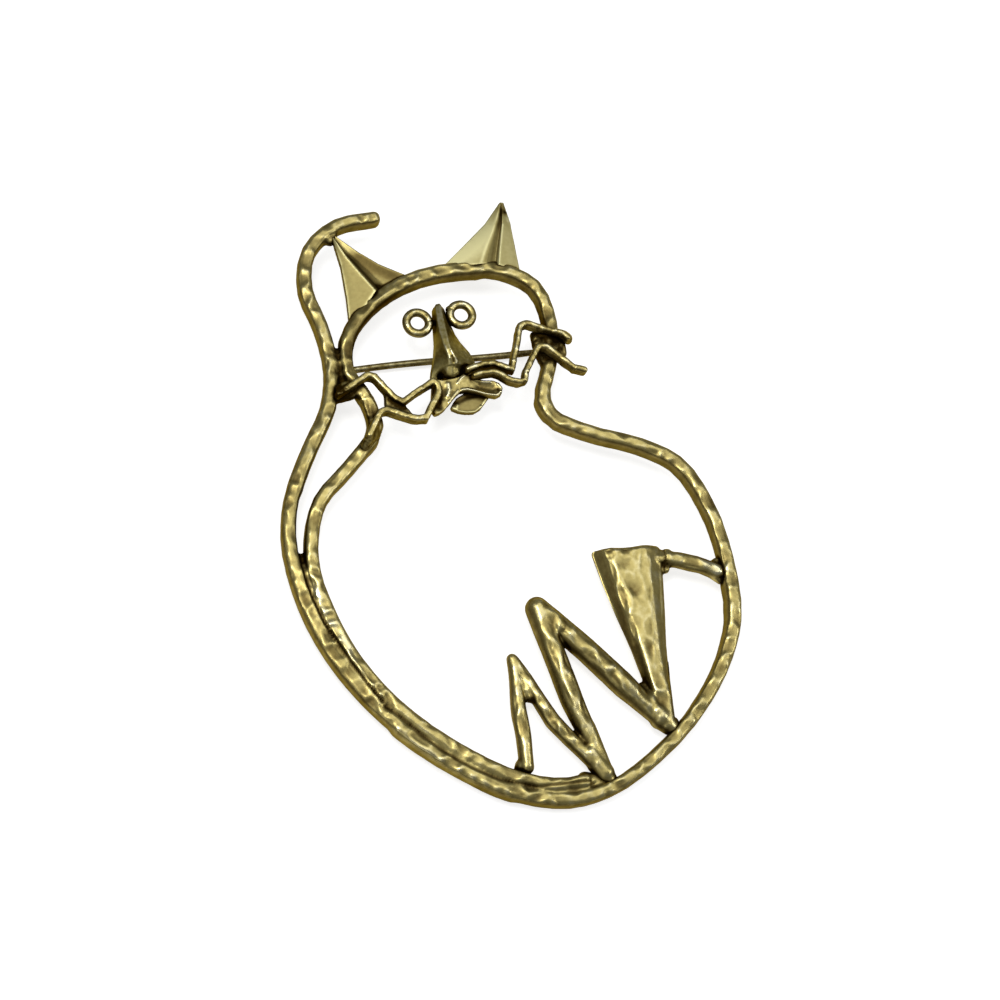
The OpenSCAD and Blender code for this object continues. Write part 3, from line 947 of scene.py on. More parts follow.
@dataclass
class RightUpperWhisker(Whisker):
    """The right upper whisker, with a lump at its outer end."""

    name: str = "right_upper_whisker"
    nodes: tuple[str, ...] = ("whisker_right_upper",)
    hammering: tuple[Hammering, ...] = (Hammering(1.6, 0.02, 0.04, 1.0, 5.0),)
    webs: tuple[tuple[Ball, ...], ...] = (
        ((14.0, 23.0, 3.4, 0.5), (14.6, 22.5, 3.0, 0.6), (14.7, 22.3, 2.6, 0.55)),
    )
    nudges: tuple[Nudge, ...] = (
        Nudge(6.7, 22.4, 2.4, 0.32, 0.0),
        Nudge(2.4, 19.8, 1.6, 0.0, -0.15),
        Nudge(5.2, 17.6, 0.8, -0.1, 0.3),
    )
    scars: tuple[Ball, ...] = ((2.8, 19.6, 2.6, 0.8),)


@dataclass
class RightLowerWhisker(Whisker):
    """The right lower whisker."""

    name: str = "right_lower_whisker"
    nodes: tuple[str, ...] = ("whisker_right_lower",)
    hammering: tuple[Hammering, ...] = (Hammering(1.6, 0.02, 0.04, 1.0, 6.0),)
    nudges: tuple[Nudge, ...] = (
        Nudge(2.6, 17.4, 2.2, 0.0, 0.42),
        Nudge(0.0, 17.6, 2.0, 0.0, 0.3),
        Nudge(5.6, 15.4, 1.9, 0.62, 0.62),
        Nudge(6.0, 15.4, 0.8, -0.1, 0.2),
        Nudge(15.4, 17.2, 2.0, 0.1, 0.32),
        Nudge(13.4, 17.4, 0.9, 0.4, -0.05),
    )


@dataclass
class Haunch(CastPiece):
    """The zigzag of round limbs with its flared top and its strut.

    Attributes:
        feet: the two lower bends, whose melted sides stay smooth.
        bevel: line at which the flare's left side turns down, from its top to its foot.
        band: line at which its right side turns down.
        foot: Y at which both sides have faded out.
        broad: Y above which both sides are at full depth.
        fork: place on the flare's left where the next limb leaves it.
        bevel_fall: fall of the left side for each millimetre beyond its line.
        band_fall: the same on the right side.
        press: how far the middle of the flare's top edge is pressed in.
    """

    name: str = "zigzag_haunch"
    nodes: tuple[str, ...] = ("zigzag",)
    finish: GoldFinish = HAMMERED
    voxel: float = 0.125
    smooth: int = 3
    weld: float = 0.16
    swell: float = 0.12
    soften: int = 3
    rough_depth: float = 0.015
    darkening: float = -0.03
    hammering: tuple[Hammering, ...] = (
        Hammering(2.4, 0.13, 0.15, 1.6, 4.0, 0.5),
        Hammering(1.2, 0.01, 0.035, 1.6, 9.0, 0.5),
    )
    webs: tuple[tuple[Ball, ...], ...] = (
        # the two lower bends
        ((14.3, -29.2, 1.0, 0.45), (14.6, -31.5, 1.5, 1.2), (15.8, -34.0, 1.5, 1.45)),
        ((15.4, -33.2, 1.5, 1.45), (16.9, -35.5, 1.4, 1.15)),
        ((16.9, -35.3, 1.2, 1.0), (17.6, -34.9, 1.0, 0.7)),
        ((4.8, -37.4, 1.5, 1.3), (6.1, -40.4, 1.5, 1.25)),
        ((5.4, -38.9, 1.5, 1.3), (6.8, -41.6, 1.35, 1.0)),
        # inside the small upper bend, and the lower end
        ((-2.7, -26.4, 1.5, 0.7), (-2.0, -28.3, 1.4, 0.8)),
        ((-4.9, -37.4, 1.2, 0.85), (-5.6, -38.0, 0.9, 0.4), (-4.2, -38.4, 0.9, 0.4)),
        # the strut to the outline, and its two ends
        ((21.8, -11.7, 1.6, 0.85), (23.6, -12.1, 1.5, 0.95)),
        ((23.6, -12.1, 1.5, 0.95), (26.2, -13.1, 1.45, 1.0)),
        ((26.2, -13.1, 1.45, 1.0), (29.0, -14.7, 1.4, 1.1)),
        ((29.4, -13.3, 1.2, 0.6), (29.4, -15.9, 1.2, 0.6), (28.0, -14.3, 1.3, 0.8)),
        ((21.0, -11.2, 1.5, 0.7), (22.3, -11.2, 1.5, 0.7), (21.5, -13.3, 1.4, 0.55)),
    )
    swells: tuple[Stroke, ...] = (
        Stroke(((5.2, -16.3), (9.7, -22.0), (13.1, -26.6)), 0.9, lift=0.1),
        Stroke(((10.5, -32.3), (13.0, -34.1), (14.8, -35.8)), 0.9, lift=0.32),
        Stroke(((6.2, -33.8), (6.8, -37.4), (7.2, -39.9)), 0.8, lift=0.15),
    )
    nudges: tuple[Nudge, ...] = (
        Nudge(-3.6, -33.0, 3.2, 0.3, 0.0),
        Nudge(-3.2, -25.5, 3.6, 0.32, 0.0),
        Nudge(4.9, -21.4, 1.1, -0.35, 0.6),
    )
    grit: tuple[Ball, ...] = (
        (21.5, -12.6, 1.8, 0.9), (29.4, -15.6, 1.5, 0.7), (-5.0, -38.4, 2.0, 0.7),
        (17.0, -36.6, 1.4, 0.6),
    )
    scars: tuple[Ball, ...] = (
        (21.5, -12.6, 1.8, 0.7), (29.4, -16.2, 1.5, 0.4), (-5.0, -38.6, 2.0, 0.5),
        (-1.8, -28.9, 2.0, 0.6), (17.0, -37.0, 1.4, 0.6), (7.2, -42.6, 1.6, 0.6), (3.6, -34.6, 1.6, 0.9),
        (4.2, -36.0, 2.4, 0.5), (14.2, -28.6, 1.4, 0.8),
    )
    strokes: tuple[Stroke, ...] = (
        # the strut's soldered end
        Stroke(((28.2, -13.6), (29.0, -14.6), (28.4, -15.8)), 0.8, 0.22, walls=True),
        # painted light on both sides of the flare, and on the line at which its left side turns down
        Stroke(((12.3, -10.0), (12.9, -17.0), (13.6, -23.0)), 0.6, 0.05, walls=True),
        Stroke(((20.4, -11.5), (18.9, -18.0), (17.4, -25.0)), 0.6, 0.05, walls=True),
        Stroke(((12.8, -9.6), (13.5, -16.0), (14.3, -23.5)), 0.14, 0.14),
    )
    feet: Path = ((16.2, -34.8), (5.9, -39.8))
    bevel: Path = ((13.0, -9.0), (13.6, -16.0), (14.4, -23.5), (14.8, -28.5))
    band: Path = ((19.7, -10.0), (18.2, -17.0), (16.9, -23.5), (15.7, -30.0))
    foot: float = -32.0
    broad: float = -24.5
    fork: tuple[float, float] = (14.2, -28.0)
    bevel_fall: float = 0.60
    band_fall: float = 0.22
    press: float = 0.28

    def flare(self, co: np.ndarray) -> tuple[np.ndarray, np.ndarray, np.ndarray]:
        """Give how far each point of the flare lies beyond its two lines.

        Args:
            co: the points.

        Returns:
            The distance left of the bevel line and the one right of the band line, below 0
            between the lines and far below 0 off the flare, and how deep both sides are at
            the point's Y, from 0 to 1.
        """
        x, y = co[:, 0], co[:, 1]
        off = -9.0
        lines = [np.array(line[::-1]) for line in (self.bevel, self.band)]
        left, right = (np.interp(y, line[:, 1], line[:, 0]) for line in lines)
        on = (y > self.foot) & (x > 10.5) & (x < right + 2.4)
        on &= x - self.fork[0] > (self.fork[1] - y) * 0.80
        fade = ramp(y, self.foot, self.broad)
        return np.where(on, (left - x) * fade, off), np.where(on, (x - right) * fade, off), fade

    def struck(self, co: np.ndarray, no: np.ndarray) -> np.ndarray:
        """Strike the crowns of the limbs, and leave their flanks smooth.

        Args:
            co: the points.
            no: their normals.

        Returns:
            One share a point.
        """
        left, right, fade = self.flare(co)
        smooth = fade * np.maximum(ramp(left, -0.25, 0.25), ramp(right, -0.25, 0.25))
        for foot in self.feet:
            away = np.linalg.norm(co[:, :2] - np.array(foot), axis=1) / 2.2
            smooth = np.maximum(smooth, 0.85 * np.exp(-away ** 4))
        return (0.10 + 0.90 * ramp(no[:, 2], 0.62, 0.92)) * (1.0 - 0.92 * smooth)

    def bend(self, co: np.ndarray) -> np.ndarray:
        """Bevel the flare's left side, round off its right one and press in its top edge.

        Args:
            co: the points.

        Returns:
            The bevelled points.
        """
        left, right, _ = self.flare(co)
        top = ramp(co[:, 2], 0.9, 1.9)
        fall = self.bevel_fall * np.clip(left, 0.0, 1.4) + self.band_fall * np.clip(right, 0.0, 1.5)
        co[:, 2] -= top * fall
        middle = np.exp(-((co[:, 0] - 16.2) / 2.6) ** 2)
        co[:, 1] -= self.press * ramp(co[:, 1], -10.8, -9.8) * middle
        return co


@dataclass
class PinStem(CastPiece):
    """The pin's wire, with a slight bow.

    Attributes:
        bow: how far the wire's middle lies towards the ears.
        sway: how far its first half lies towards the ears, and its second half away.
        start: X of the hinge.
        reach: length of the wire.
    """

    name: str = "pin_wire"
    nodes: tuple[str, ...] = ("pin_stem",)
    finish: GoldFinish = WIRE
    body: Body = Body.PIN
    slot: MetalSlot = MetalSlot.WIRE
    voxel: float = 0.07
    smooth: int = 3
    rough_depth: float = 0.006
    bow: float = 0.05
    sway: float = 0.18
    darkening: float = 0.12
    start: float = -18.85
    reach: float = 35.0

    def bend(self, co: np.ndarray) -> np.ndarray:
        """Bow the wire between its ends.

        Args:
            co: the points.

        Returns:
            The bowed points.
        """
        t = np.clip((co[:, 0] - self.start) / self.reach, 0.0, 1.0)
        co[:, 1] += self.bow * np.sin(math.pi * t) + self.sway * np.sin(2.0 * math.pi * t)
        return co


@dataclass
class HingeCheeks(CastPiece):
    """The two cheeks of the pin's hinge."""

    name: str = "hinge_cheeks"
    nodes: tuple[str, ...] = ("pin_hinge",)
    finish: GoldFinish = FITTING
    voxel: float = 0.07
    smooth: int = 2
    rough_depth: float = 0.01


@dataclass
class Rivet(CastPiece):
    """The rivet on which the pin turns."""

    name: str = "rivet"
    nodes: tuple[str, ...] = ("hinge_rivet",)
    finish: GoldFinish = FITTING
    voxel: float = 0.05
    smooth: int = 2
    rough_depth: float = 0.004


@dataclass
class HookCatch(CastPiece):
    """The hook that holds the pin's point."""

    name: str = "hook_catch"
    nodes: tuple[str, ...] = ("catch",)
    finish: GoldFinish = FITTING
    voxel: float = 0.08
    smooth: int = 2
    rough_depth: float = 0.012
    darkening: float = 0.1


@dataclass
class Plate(Piece):
    """A thick plate pressed from a grid, whose top is drawn by rows.

    Attributes:
        across: squares across the plate.
        along: squares along it.
        floor: height of its flat back.
        voxel: size of the skin's squares.
    """

    across: int = 60
    along: int = 110
    floor: float = 1.6
    voxel: float = 0.07
    rough_depth: float = 0.012
    calm: int = 7

    def surface(self, u: np.ndarray, v: np.ndarray) -> np.ndarray:
        """Give the top's points for shares across and along. Each plate has its own."""
        raise NotImplementedError

    def extra(self) -> list[bpy.types.Mesh]:
        """Give more closed meshes that melt into the plate, here none."""
        return []

    def form(self) -> bpy.types.Mesh:
        """Press the grid, give it a back, and melt it.

        Returns:
            The mesh.
        """
        bm = bmesh.new()
        bmesh.ops.create_grid(bm, x_segments=self.across, y_segments=self.along, size=0.5)
        flat = np.array([v.co[:] for v in bm.verts])
        top = self.surface(flat[:, 0] + 0.5, flat[:, 1] + 0.5)
        for vert, place in zip(bm.verts, top):
            vert.co = place
        raised = bmesh.ops.extrude_face_region(bm, geom=bm.faces[:])["geom"]
        lifted = {v for v in raised if isinstance(v, bmesh.types.BMVert)}
        for vert in bm.verts:
            if vert not in lifted:
                vert.co.z = self.back(vert.co)
        bmesh.ops.recalc_face_normals(bm, faces=bm.faces)
        blank = Metalwork.close(bm, self.name)
        skin = Metalwork.melt(Metalwork.join([blank, *self.extra()], self.name), self.voxel, 3)
        co, no = Metalwork.points(skin), Metalwork.normals(skin)
        push = self.rough_depth * wander(co, 0.5, 9.0)
        self.relief = push
        Metalwork.set_points(skin, co + no * push[:, None])
        return skin

    def back(self, place: Vector) -> float:
        """Give the back's height under a point of the top."""
        return self.floor


@dataclass(frozen=True)
class Crease:
    """One line of a folded ear, from its foot to its tip.

    Attributes:
        path: four points of the line.
        height: its height at the foot.
    """

    path: Path
    height: float


@dataclass
class Ear(Plate):
    """A folded ear, pressed between a few creases.

    Attributes:
        creases: the lines, from the left edge to the right one.
        tip: height at the tip.
        thick: thickness of the sheet.
        fall: how fast the folds flatten towards the tip.
    """

    finish: GoldFinish = SATIN
    creases: tuple[Crease, ...] = ()
    tip: float = 2.3
    thick: float = 0.8
    fall: float = 0.8
    voxel: float = 0.085
    rough_depth: float = 0.003
    across: int = 90
    along: int = 90

    def surface(self, u: np.ndarray, v: np.ndarray) -> np.ndarray:
        """Give the ear's top.

        Args:
            u: shares across, from the left edge.
            v: shares along, from the foot.

        Returns:
            The points.
        """
        stations = np.linspace(0.0, 1.0, len(self.creases[0].path))
        paths = [np.array(line.path) for line in self.creases]
        lines = np.array([[np.interp(v, stations, path[:, k]) for k in (0, 1)] for path in paths])
        heights = np.array([line.height for line in self.creases])
        marks = np.linspace(0.0, 1.0, len(self.creases))
        at = u * (len(marks) - 1)
        first = np.minimum(at.astype(int), len(marks) - 2)
        part = at - first
        rows = np.arange(len(u))
        flat = [lines[first, k, rows] * (1.0 - part) + lines[first + 1, k, rows] * part
                for k in (0, 1)]
        z = heights[first] * (1.0 - part) + heights[first + 1] * part
        close = 1.0 - self.fall * v
        return np.column_stack([*flat, self.tip + (z - self.tip) * close])

    def back(self, place: Vector) -> float:
        """Give the sheet's back."""
        return place.z - self.thick


@dataclass
class LeftEar(Ear):
    """The left ear, with one deep fold in its right half."""

    name: str = "left_ear"
    nodes: tuple[str, ...] = ("ear_left",)
    darkening: float = 0.08
    clouds: float = 0.1
    tip: float = 2.25
    fall: float = 0.7
    creases: tuple[Crease, ...] = (
        Crease(((-16.6, 27.3), (-16.2, 32.5), (-16.1, 37.3), (-16.6, 42.2)), 2.15),
        Crease(((-11.9, 32.8), (-13.6, 35.8), (-15.1, 38.6), (-16.45, 42.1)), 2.95),
        Crease(((-11.1, 33.3), (-13.0, 36.3), (-14.7, 39.0), (-16.4, 42.1)), 2.15),
        Crease(((-10.2, 33.7), (-12.4, 36.7), (-14.4, 39.3), (-16.35, 42.1)), 2.0),
        Crease(((-6.8, 34.9), (-10.6, 37.2), (-13.2, 39.4), (-16.1, 42.3)), 2.5),
    )
    # painted highlights on the edges, the fold's ridge and near the tip; painted shade in the crease and on
    # the right facet
    strokes: tuple[Stroke, ...] = (
        Stroke(((-16.4, 28.0), (-16.0, 33.0), (-16.0, 38.0), (-16.5, 41.5)), 0.18, 0.22),
        Stroke(((-12.1, 33.0), (-13.8, 36.0), (-15.3, 38.9), (-16.4, 41.6)), 0.17, 0.3),
        Stroke(((-16.2, 27.7), (-14.2, 30.4), (-12.2, 32.8)), 0.24, 0.22),
        Stroke(((-11.2, 33.6), (-13.0, 36.4), (-14.6, 38.9)), 0.42, -0.2),
        Stroke(((-8.6, 35.1), (-11.0, 36.6), (-13.2, 38.6)), 1.1, -0.27),
        Stroke(((-15.4, 40.6), (-14.9, 39.8)), 0.4, 0.16),
    )
    scars: tuple[Ball, ...] = ((-11.2, 33.6, 1.9, 0.6),)


@dataclass
class RightEar(Ear):
    """The right ear, with two folds."""

    name: str = "right_ear"
    nodes: tuple[str, ...] = ("ear_right",)
    # the whole ear lighter: painted light
    darkening: float = -0.1
    clouds: float = 0.1
    tip: float = 2.3
    fall: float = 0.55
    creases: tuple[Crease, ...] = (
        Crease(((-1.6, 35.6), (2.5, 38.9), (6.3, 42.0), (9.2, 45.2)), 2.48),
        Crease(((4.3, 35.5), (6.0, 38.7), (7.8, 41.7), (9.45, 45.3)), 2.85),
        Crease(((5.1, 35.5), (6.6, 38.8), (8.2, 41.9), (9.5, 45.3)), 2.75),
        Crease(((6.5, 35.4), (7.6, 38.7), (8.75, 41.9), (9.65, 45.3)), 2.2),
        Crease(((7.0, 35.2), (7.95, 38.6), (8.95, 41.8), (9.7, 45.3)), 2.62),
        Crease(((10.1, 33.9), (10.2, 38.0), (10.3, 42.0), (9.95, 45.2)), 2.15),
    )
    # painted light on the left leaf, painted highlights on the ridges, painted shade in the valleys
    strokes: tuple[Stroke, ...] = (
        Stroke(((4.4, 35.9), (6.0, 38.9), (7.7, 41.9), (9.0, 44.0)), 0.2, 0.16),
        Stroke(((5.1, 35.8), (6.6, 38.9), (8.15, 41.9)), 0.32, -0.2),
        Stroke(((0.6, 36.6), (4.0, 38.6), (6.4, 41.0)), 1.5, 0.34),
        Stroke(((6.0, 35.8), (7.2, 38.9), (8.5, 41.9), (9.2, 44.0)), 0.4, -0.3),
        Stroke(((7.05, 35.6), (8.0, 38.7), (8.95, 41.6)), 0.16, 0.38),
        Stroke(((8.9, 36.0), (9.4, 40.0)), 0.8, 0.04),
        Stroke(((9.3, 43.8), (9.7, 45.1)), 0.5, -0.26),
        Stroke(((10.0, 42.3), (10.0, 42.6)), 0.25, 0.35),
    )
    scars: tuple[Ball, ...] = ((9.8, 43.6, 2.4, 0.4),)


@dataclass
class Nose(Plate):
    """The folded nose: a steep left side, a narrow crown, a sloping right side and a round tip.

    Attributes:
        rows: from the foot to the top: y, the left edge, the two edges of the crown, the
            right edge, and the height of the crown.
        nub: the balls of the round tip.
    """

    name: str = "folded_nose"
    nodes: tuple[str, ...] = ("nose",)
    finish: GoldFinish = OLIVE
    clouds: float = 0.5
    rough_depth: float = 0.005
    nudges: tuple[Nudge, ...] = (Nudge(-5.2, 25.0, 2.0, 0.16),)
    # painted highlights on the crown's edges and the tip, painted light on both sides, painted shade along
    # the crown, in the slot above the tip and in the nostrils
    strokes: tuple[Stroke, ...] = (
        Stroke(((-4.1, 22.6), (-3.95, 21.6), (-3.8, 20.8)), 0.16, 0.16, 0.05),
        Stroke(((-3.4, 21.8), (-3.1, 21.0), (-2.7, 20.2)), 0.15, 0.42, 0.06),
        Stroke(((-3.7, 28.8), (-3.9, 26.6), (-4.1, 24.4)), 0.4, 0.13),
        Stroke(((-4.3, 29.0), (-4.6, 26.0), (-4.8, 23.8)), 0.45, 0.1, walls=True),
        Stroke(((-2.6, 29.0), (-2.5, 27.0), (-2.3, 25.8)), 0.6, 0.26, walls=True),
        Stroke(((-5.0, 22.8), (-5.3, 20.6)), 0.7, 0.16, walls=True),
        Stroke(((-3.35, 26.6), (-3.25, 24.6)), 0.16, -0.14),
        Stroke(((-3.45, 20.9), (-3.3, 20.2)), 0.2, -0.3, -0.12),
        Stroke(((-2.4, 26.0), (-1.2, 22.9), (-0.2, 21.1)), 0.12, 0.14),
        Stroke(((-2.3, 24.0), (-1.4, 21.6)), 0.7, 0.1),
        Stroke(((-5.05, 18.9), (-4.9, 18.4)), 0.4, -0.5, -0.9),
        Stroke(((-1.2, 19.5), (-0.95, 19.2)), 0.42, -0.5, -0.8),
        Stroke(((-4.4, 19.8), (-3.5, 20.0), (-2.6, 19.8)), 0.55, 0.16),
        Stroke(((-3.5, 19.2), (-3.3, 19.0)), 0.9, -0.04),
    )
    across: int = 70
    along: int = 120
    rows: tuple[tuple[float, float, float, float, float, float], ...] = (
        (18.55, -6.55, -3.95, -2.90, -0.60, 2.80),
        (19.20, -6.45, -3.90, -2.85, 0.15, 3.50),
        (19.90, -6.25, -3.90, -2.90, 0.55, 4.35),
        (20.70, -5.95, -3.95, -3.10, 0.45, 4.80),
        (22.10, -5.45, -4.10, -3.40, 0.00, 4.85),
        (23.80, -5.10, -4.35, -3.50, -1.00, 4.65),
        (25.10, -4.95, -4.45, -3.45, -1.50, 4.40),
        (26.60, -4.68, -4.25, -3.40, -1.80, 4.10),
        (28.30, -4.35, -4.00, -3.30, -2.05, 3.75),
        (29.35, -4.15, -3.85, -3.25, -2.25, 3.50),
        (29.80, -3.85, -3.65, -3.25, -2.55, 3.20),
    )
    nub: tuple[Ball, ...] = (
        (-4.10, 19.20, 2.70, 0.85),
        (-3.00, 19.25, 2.75, 0.88),
        (-3.50, 19.05, 2.80, 0.90),
        (-3.45, 20.70, 3.80, 0.62),
    )

    def surface(self, u: np.ndarray, v: np.ndarray) -> np.ndarray:
        """Give the nose's top.

        Args:
            u: shares across, from the left edge.
            v: shares along, from the foot.

        Returns:
            The points.
        """
        table = np.array(self.rows)
        at = v * (len(table) - 1)
        y, left, first, last, right, high = (np.interp(at, range(len(table)), table[:, k]) for k in range(6))
        rise = high - self.floor
        marks = np.array([left, left + 0.10, first - 0.08, first + 0.10, last - 0.06, last + 0.14,
                          last + 0.55 * (right - last), right - 0.12, right])
        heights = self.floor + rise * np.array([0.0, 0.34, 0.90, 0.93, 1.0, 0.95, 0.56, 0.26, 0.05])[:, None]
        heights[0] = self.floor + 0.3
        spots = np.array([0.0, 0.05, 0.36, 0.42, 0.52, 0.58, 0.80, 0.95, 1.0])
        slot = np.clip(np.searchsorted(spots, u, side="right") - 1, 0, len(spots) - 2)
        part = (u - spots[slot]) / (spots[slot + 1] - spots[slot])
        rows = np.arange(len(u))
        x = marks[slot, rows] * (1.0 - part) + marks[slot + 1, rows] * part
        z = heights[slot, rows] * (1.0 - part) + heights[slot + 1, rows] * part
        return np.column_stack([x, y, np.maximum(z, self.floor + 0.1)])

    def extra(self) -> list[bpy.types.Mesh]:
        """Give the round tip."""
        return [Metalwork.filling(self.nub)]


@dataclass
class Leaf(Plate):
    """A flat leaf between two edges, slightly crowned.

    Attributes:
        upper: points of the upper edge, from left to right.
        lower: points of the lower edge.
        spots: shares along at which those points lie.
        top: height of its top.
        crown: how much its middle stands above its edges.
    """

    across: int = 50
    along: int = 130
    upper: Path = ()
    lower: Path = ()
    spots: tuple[float, ...] = ()
    top: float = 3.3
    crown: float = 0.1

    def surface(self, u: np.ndarray, v: np.ndarray) -> np.ndarray:
        """Give the leaf's top.

        Args:
            u: shares across, from the upper edge.
            v: shares along, from the left end.

        Returns:
            The points.
        """
        edges = [np.column_stack([np.interp(v, self.spots, np.array(line)[:, k]) for k in (0, 1)])
                 for line in (self.upper, self.lower)]
        flat = edges[0] + (edges[1] - edges[0]) * u[:, None]
        z = self.top + self.crown * (4.0 * u * (1.0 - u) - 0.5)
        return np.column_stack([flat, z])


@dataclass
class Lips(Leaf):
    """The lips, pressed down in the middle of each wing."""

    name: str = "folded_lips"
    nodes: tuple[str, ...] = ("lips",)
    finish: GoldFinish = HAMMERED
    darkening: float = 0.04
    clouds: float = 0.35
    rough_depth: float = 0.006
    floor: float = 1.95
    top: float = 3.15
    crown: float = 0.0
    upper: Path = (
        (-7.45, 13.7), (-7.3, 15.0), (-6.7, 17.4), (-6.1, 18.3), (-5.0, 18.0), (-4.0, 18.1), (-2.6, 18.3),
        (-1.7, 18.75), (-0.8, 18.0), (0.8, 17.4), (2.2, 17.2), (3.0, 16.7), (3.35, 15.9),
    )
    lower: Path = (
        (-7.1, 13.1), (-6.5, 13.2), (-5.6, 13.7), (-5.2, 14.1), (-4.6, 14.6), (-3.9, 15.3), (-3.3, 15.8),
        (-2.8, 16.1), (-1.9, 16.1), (-0.7, 15.75), (0.8, 15.1), (2.2, 14.7), (3.0, 15.0),
    )
    spots: tuple[float, ...] = (0.0, 0.09, 0.22, 0.3, 0.38, 0.44, 0.51, 0.56, 0.62, 0.72, 0.84, 0.94, 1.0)
    # painted highlights on the raised rims and ridges, painted shade in the sunk troughs
    strokes: tuple[Stroke, ...] = (
        Stroke(((-5.9, 16.8), (-6.2, 15.4), (-6.4, 14.2)), 0.5, -0.16, -0.28),
        Stroke(((-5.2, 16.8), (-5.5, 15.4)), 0.35, -0.08, -0.1),
        Stroke(((-4.4, 17.4), (-4.4, 16.6), (-4.8, 15.7)), 0.34, 0.26, 0.16),
        Stroke(((-3.2, 16.25), (-4.0, 15.5), (-4.8, 14.7)), 0.18, 0.12, 0.08),
        Stroke(((-3.9, 16.3), (-4.5, 15.6)), 0.16, -0.16, -0.06),
        Stroke(((-1.5, 17.4), (-1.9, 17.0)), 0.9, 0.06, 0.06),
        Stroke(((-1.8, 18.4), (-2.4, 18.0), (-3.0, 17.4)), 0.22, 0.2, 0.1),
        Stroke(((0.1, 16.6), (0.9, 16.3), (1.9, 16.0)), 0.55, -0.14, -0.26),
        Stroke(((-0.7, 17.6), (0.8, 17.1), (1.7, 17.0)), 0.2, 0.22, 0.12),
        Stroke((
            (-2.6, 16.3), (-1.8, 16.3), (-0.7, 15.95), (0.8, 15.3), (2.2, 14.95), (2.9, 15.3),
        ), 0.2, 0.22, 0.14),
        Stroke(((3.0, 15.4), (3.1, 16.0), (2.7, 16.6)), 0.2, 0.1, 0.12),
    )
    scars: tuple[Ball, ...] = ((2.6, 15.7, 3.0, 0.3),)


@dataclass
class Tongue(Leaf):
    """The tongue, with painted shade under the lips and a painted highlight along its lower edge."""

    name: str = "tongue_leaf"
    nodes: tuple[str, ...] = ("tongue",)
    finish: GoldFinish = SATIN
    clouds: float = 0.1
    rough_depth: float = 0.003
    floor: float = 1.05
    top: float = 1.95
    crown: float = 0.06
    darkening: float = 0.13
    upper: Path = (
        (-4.35, 14.4), (-3.9, 15.0), (-3.3, 15.6), (-2.0, 16.2), (-0.6, 16.2), (0.6, 15.9), (1.4, 15.6),
    )
    lower: Path = (
        (-4.25, 14.0), (-3.4, 13.5), (-2.4, 13.2), (-1.2, 13.1), (-0.1, 13.6), (0.8, 14.5), (1.5, 15.2),
    )
    spots: tuple[float, ...] = (0.0, 0.16, 0.33, 0.52, 0.7, 0.86, 1.0)
    # painted shade along the upper edge under the lips, painted highlights along the lower edge and the
    # right end
    strokes: tuple[Stroke, ...] = (
        Stroke(((-3.6, 14.9), (-2.1, 15.4), (-0.5, 15.8)), 0.36, -0.28, -0.1),
        Stroke(((-4.1, 14.2), (-3.6, 14.0), (-3.4, 14.5)), 0.24, 0.3, 0.1),
        Stroke(((-4.2, 14.0), (-3.4, 13.6), (-2.2, 13.3), (-1.0, 13.3), (0.0, 13.9)), 0.17, 0.22, 0.08),
        Stroke(((0.0, 13.9), (0.7, 14.7), (1.2, 15.3)), 0.22, 0.36, 0.12),
        Stroke(((-2.4, 14.2), (-0.6, 14.5)), 0.8, -0.02),
    )


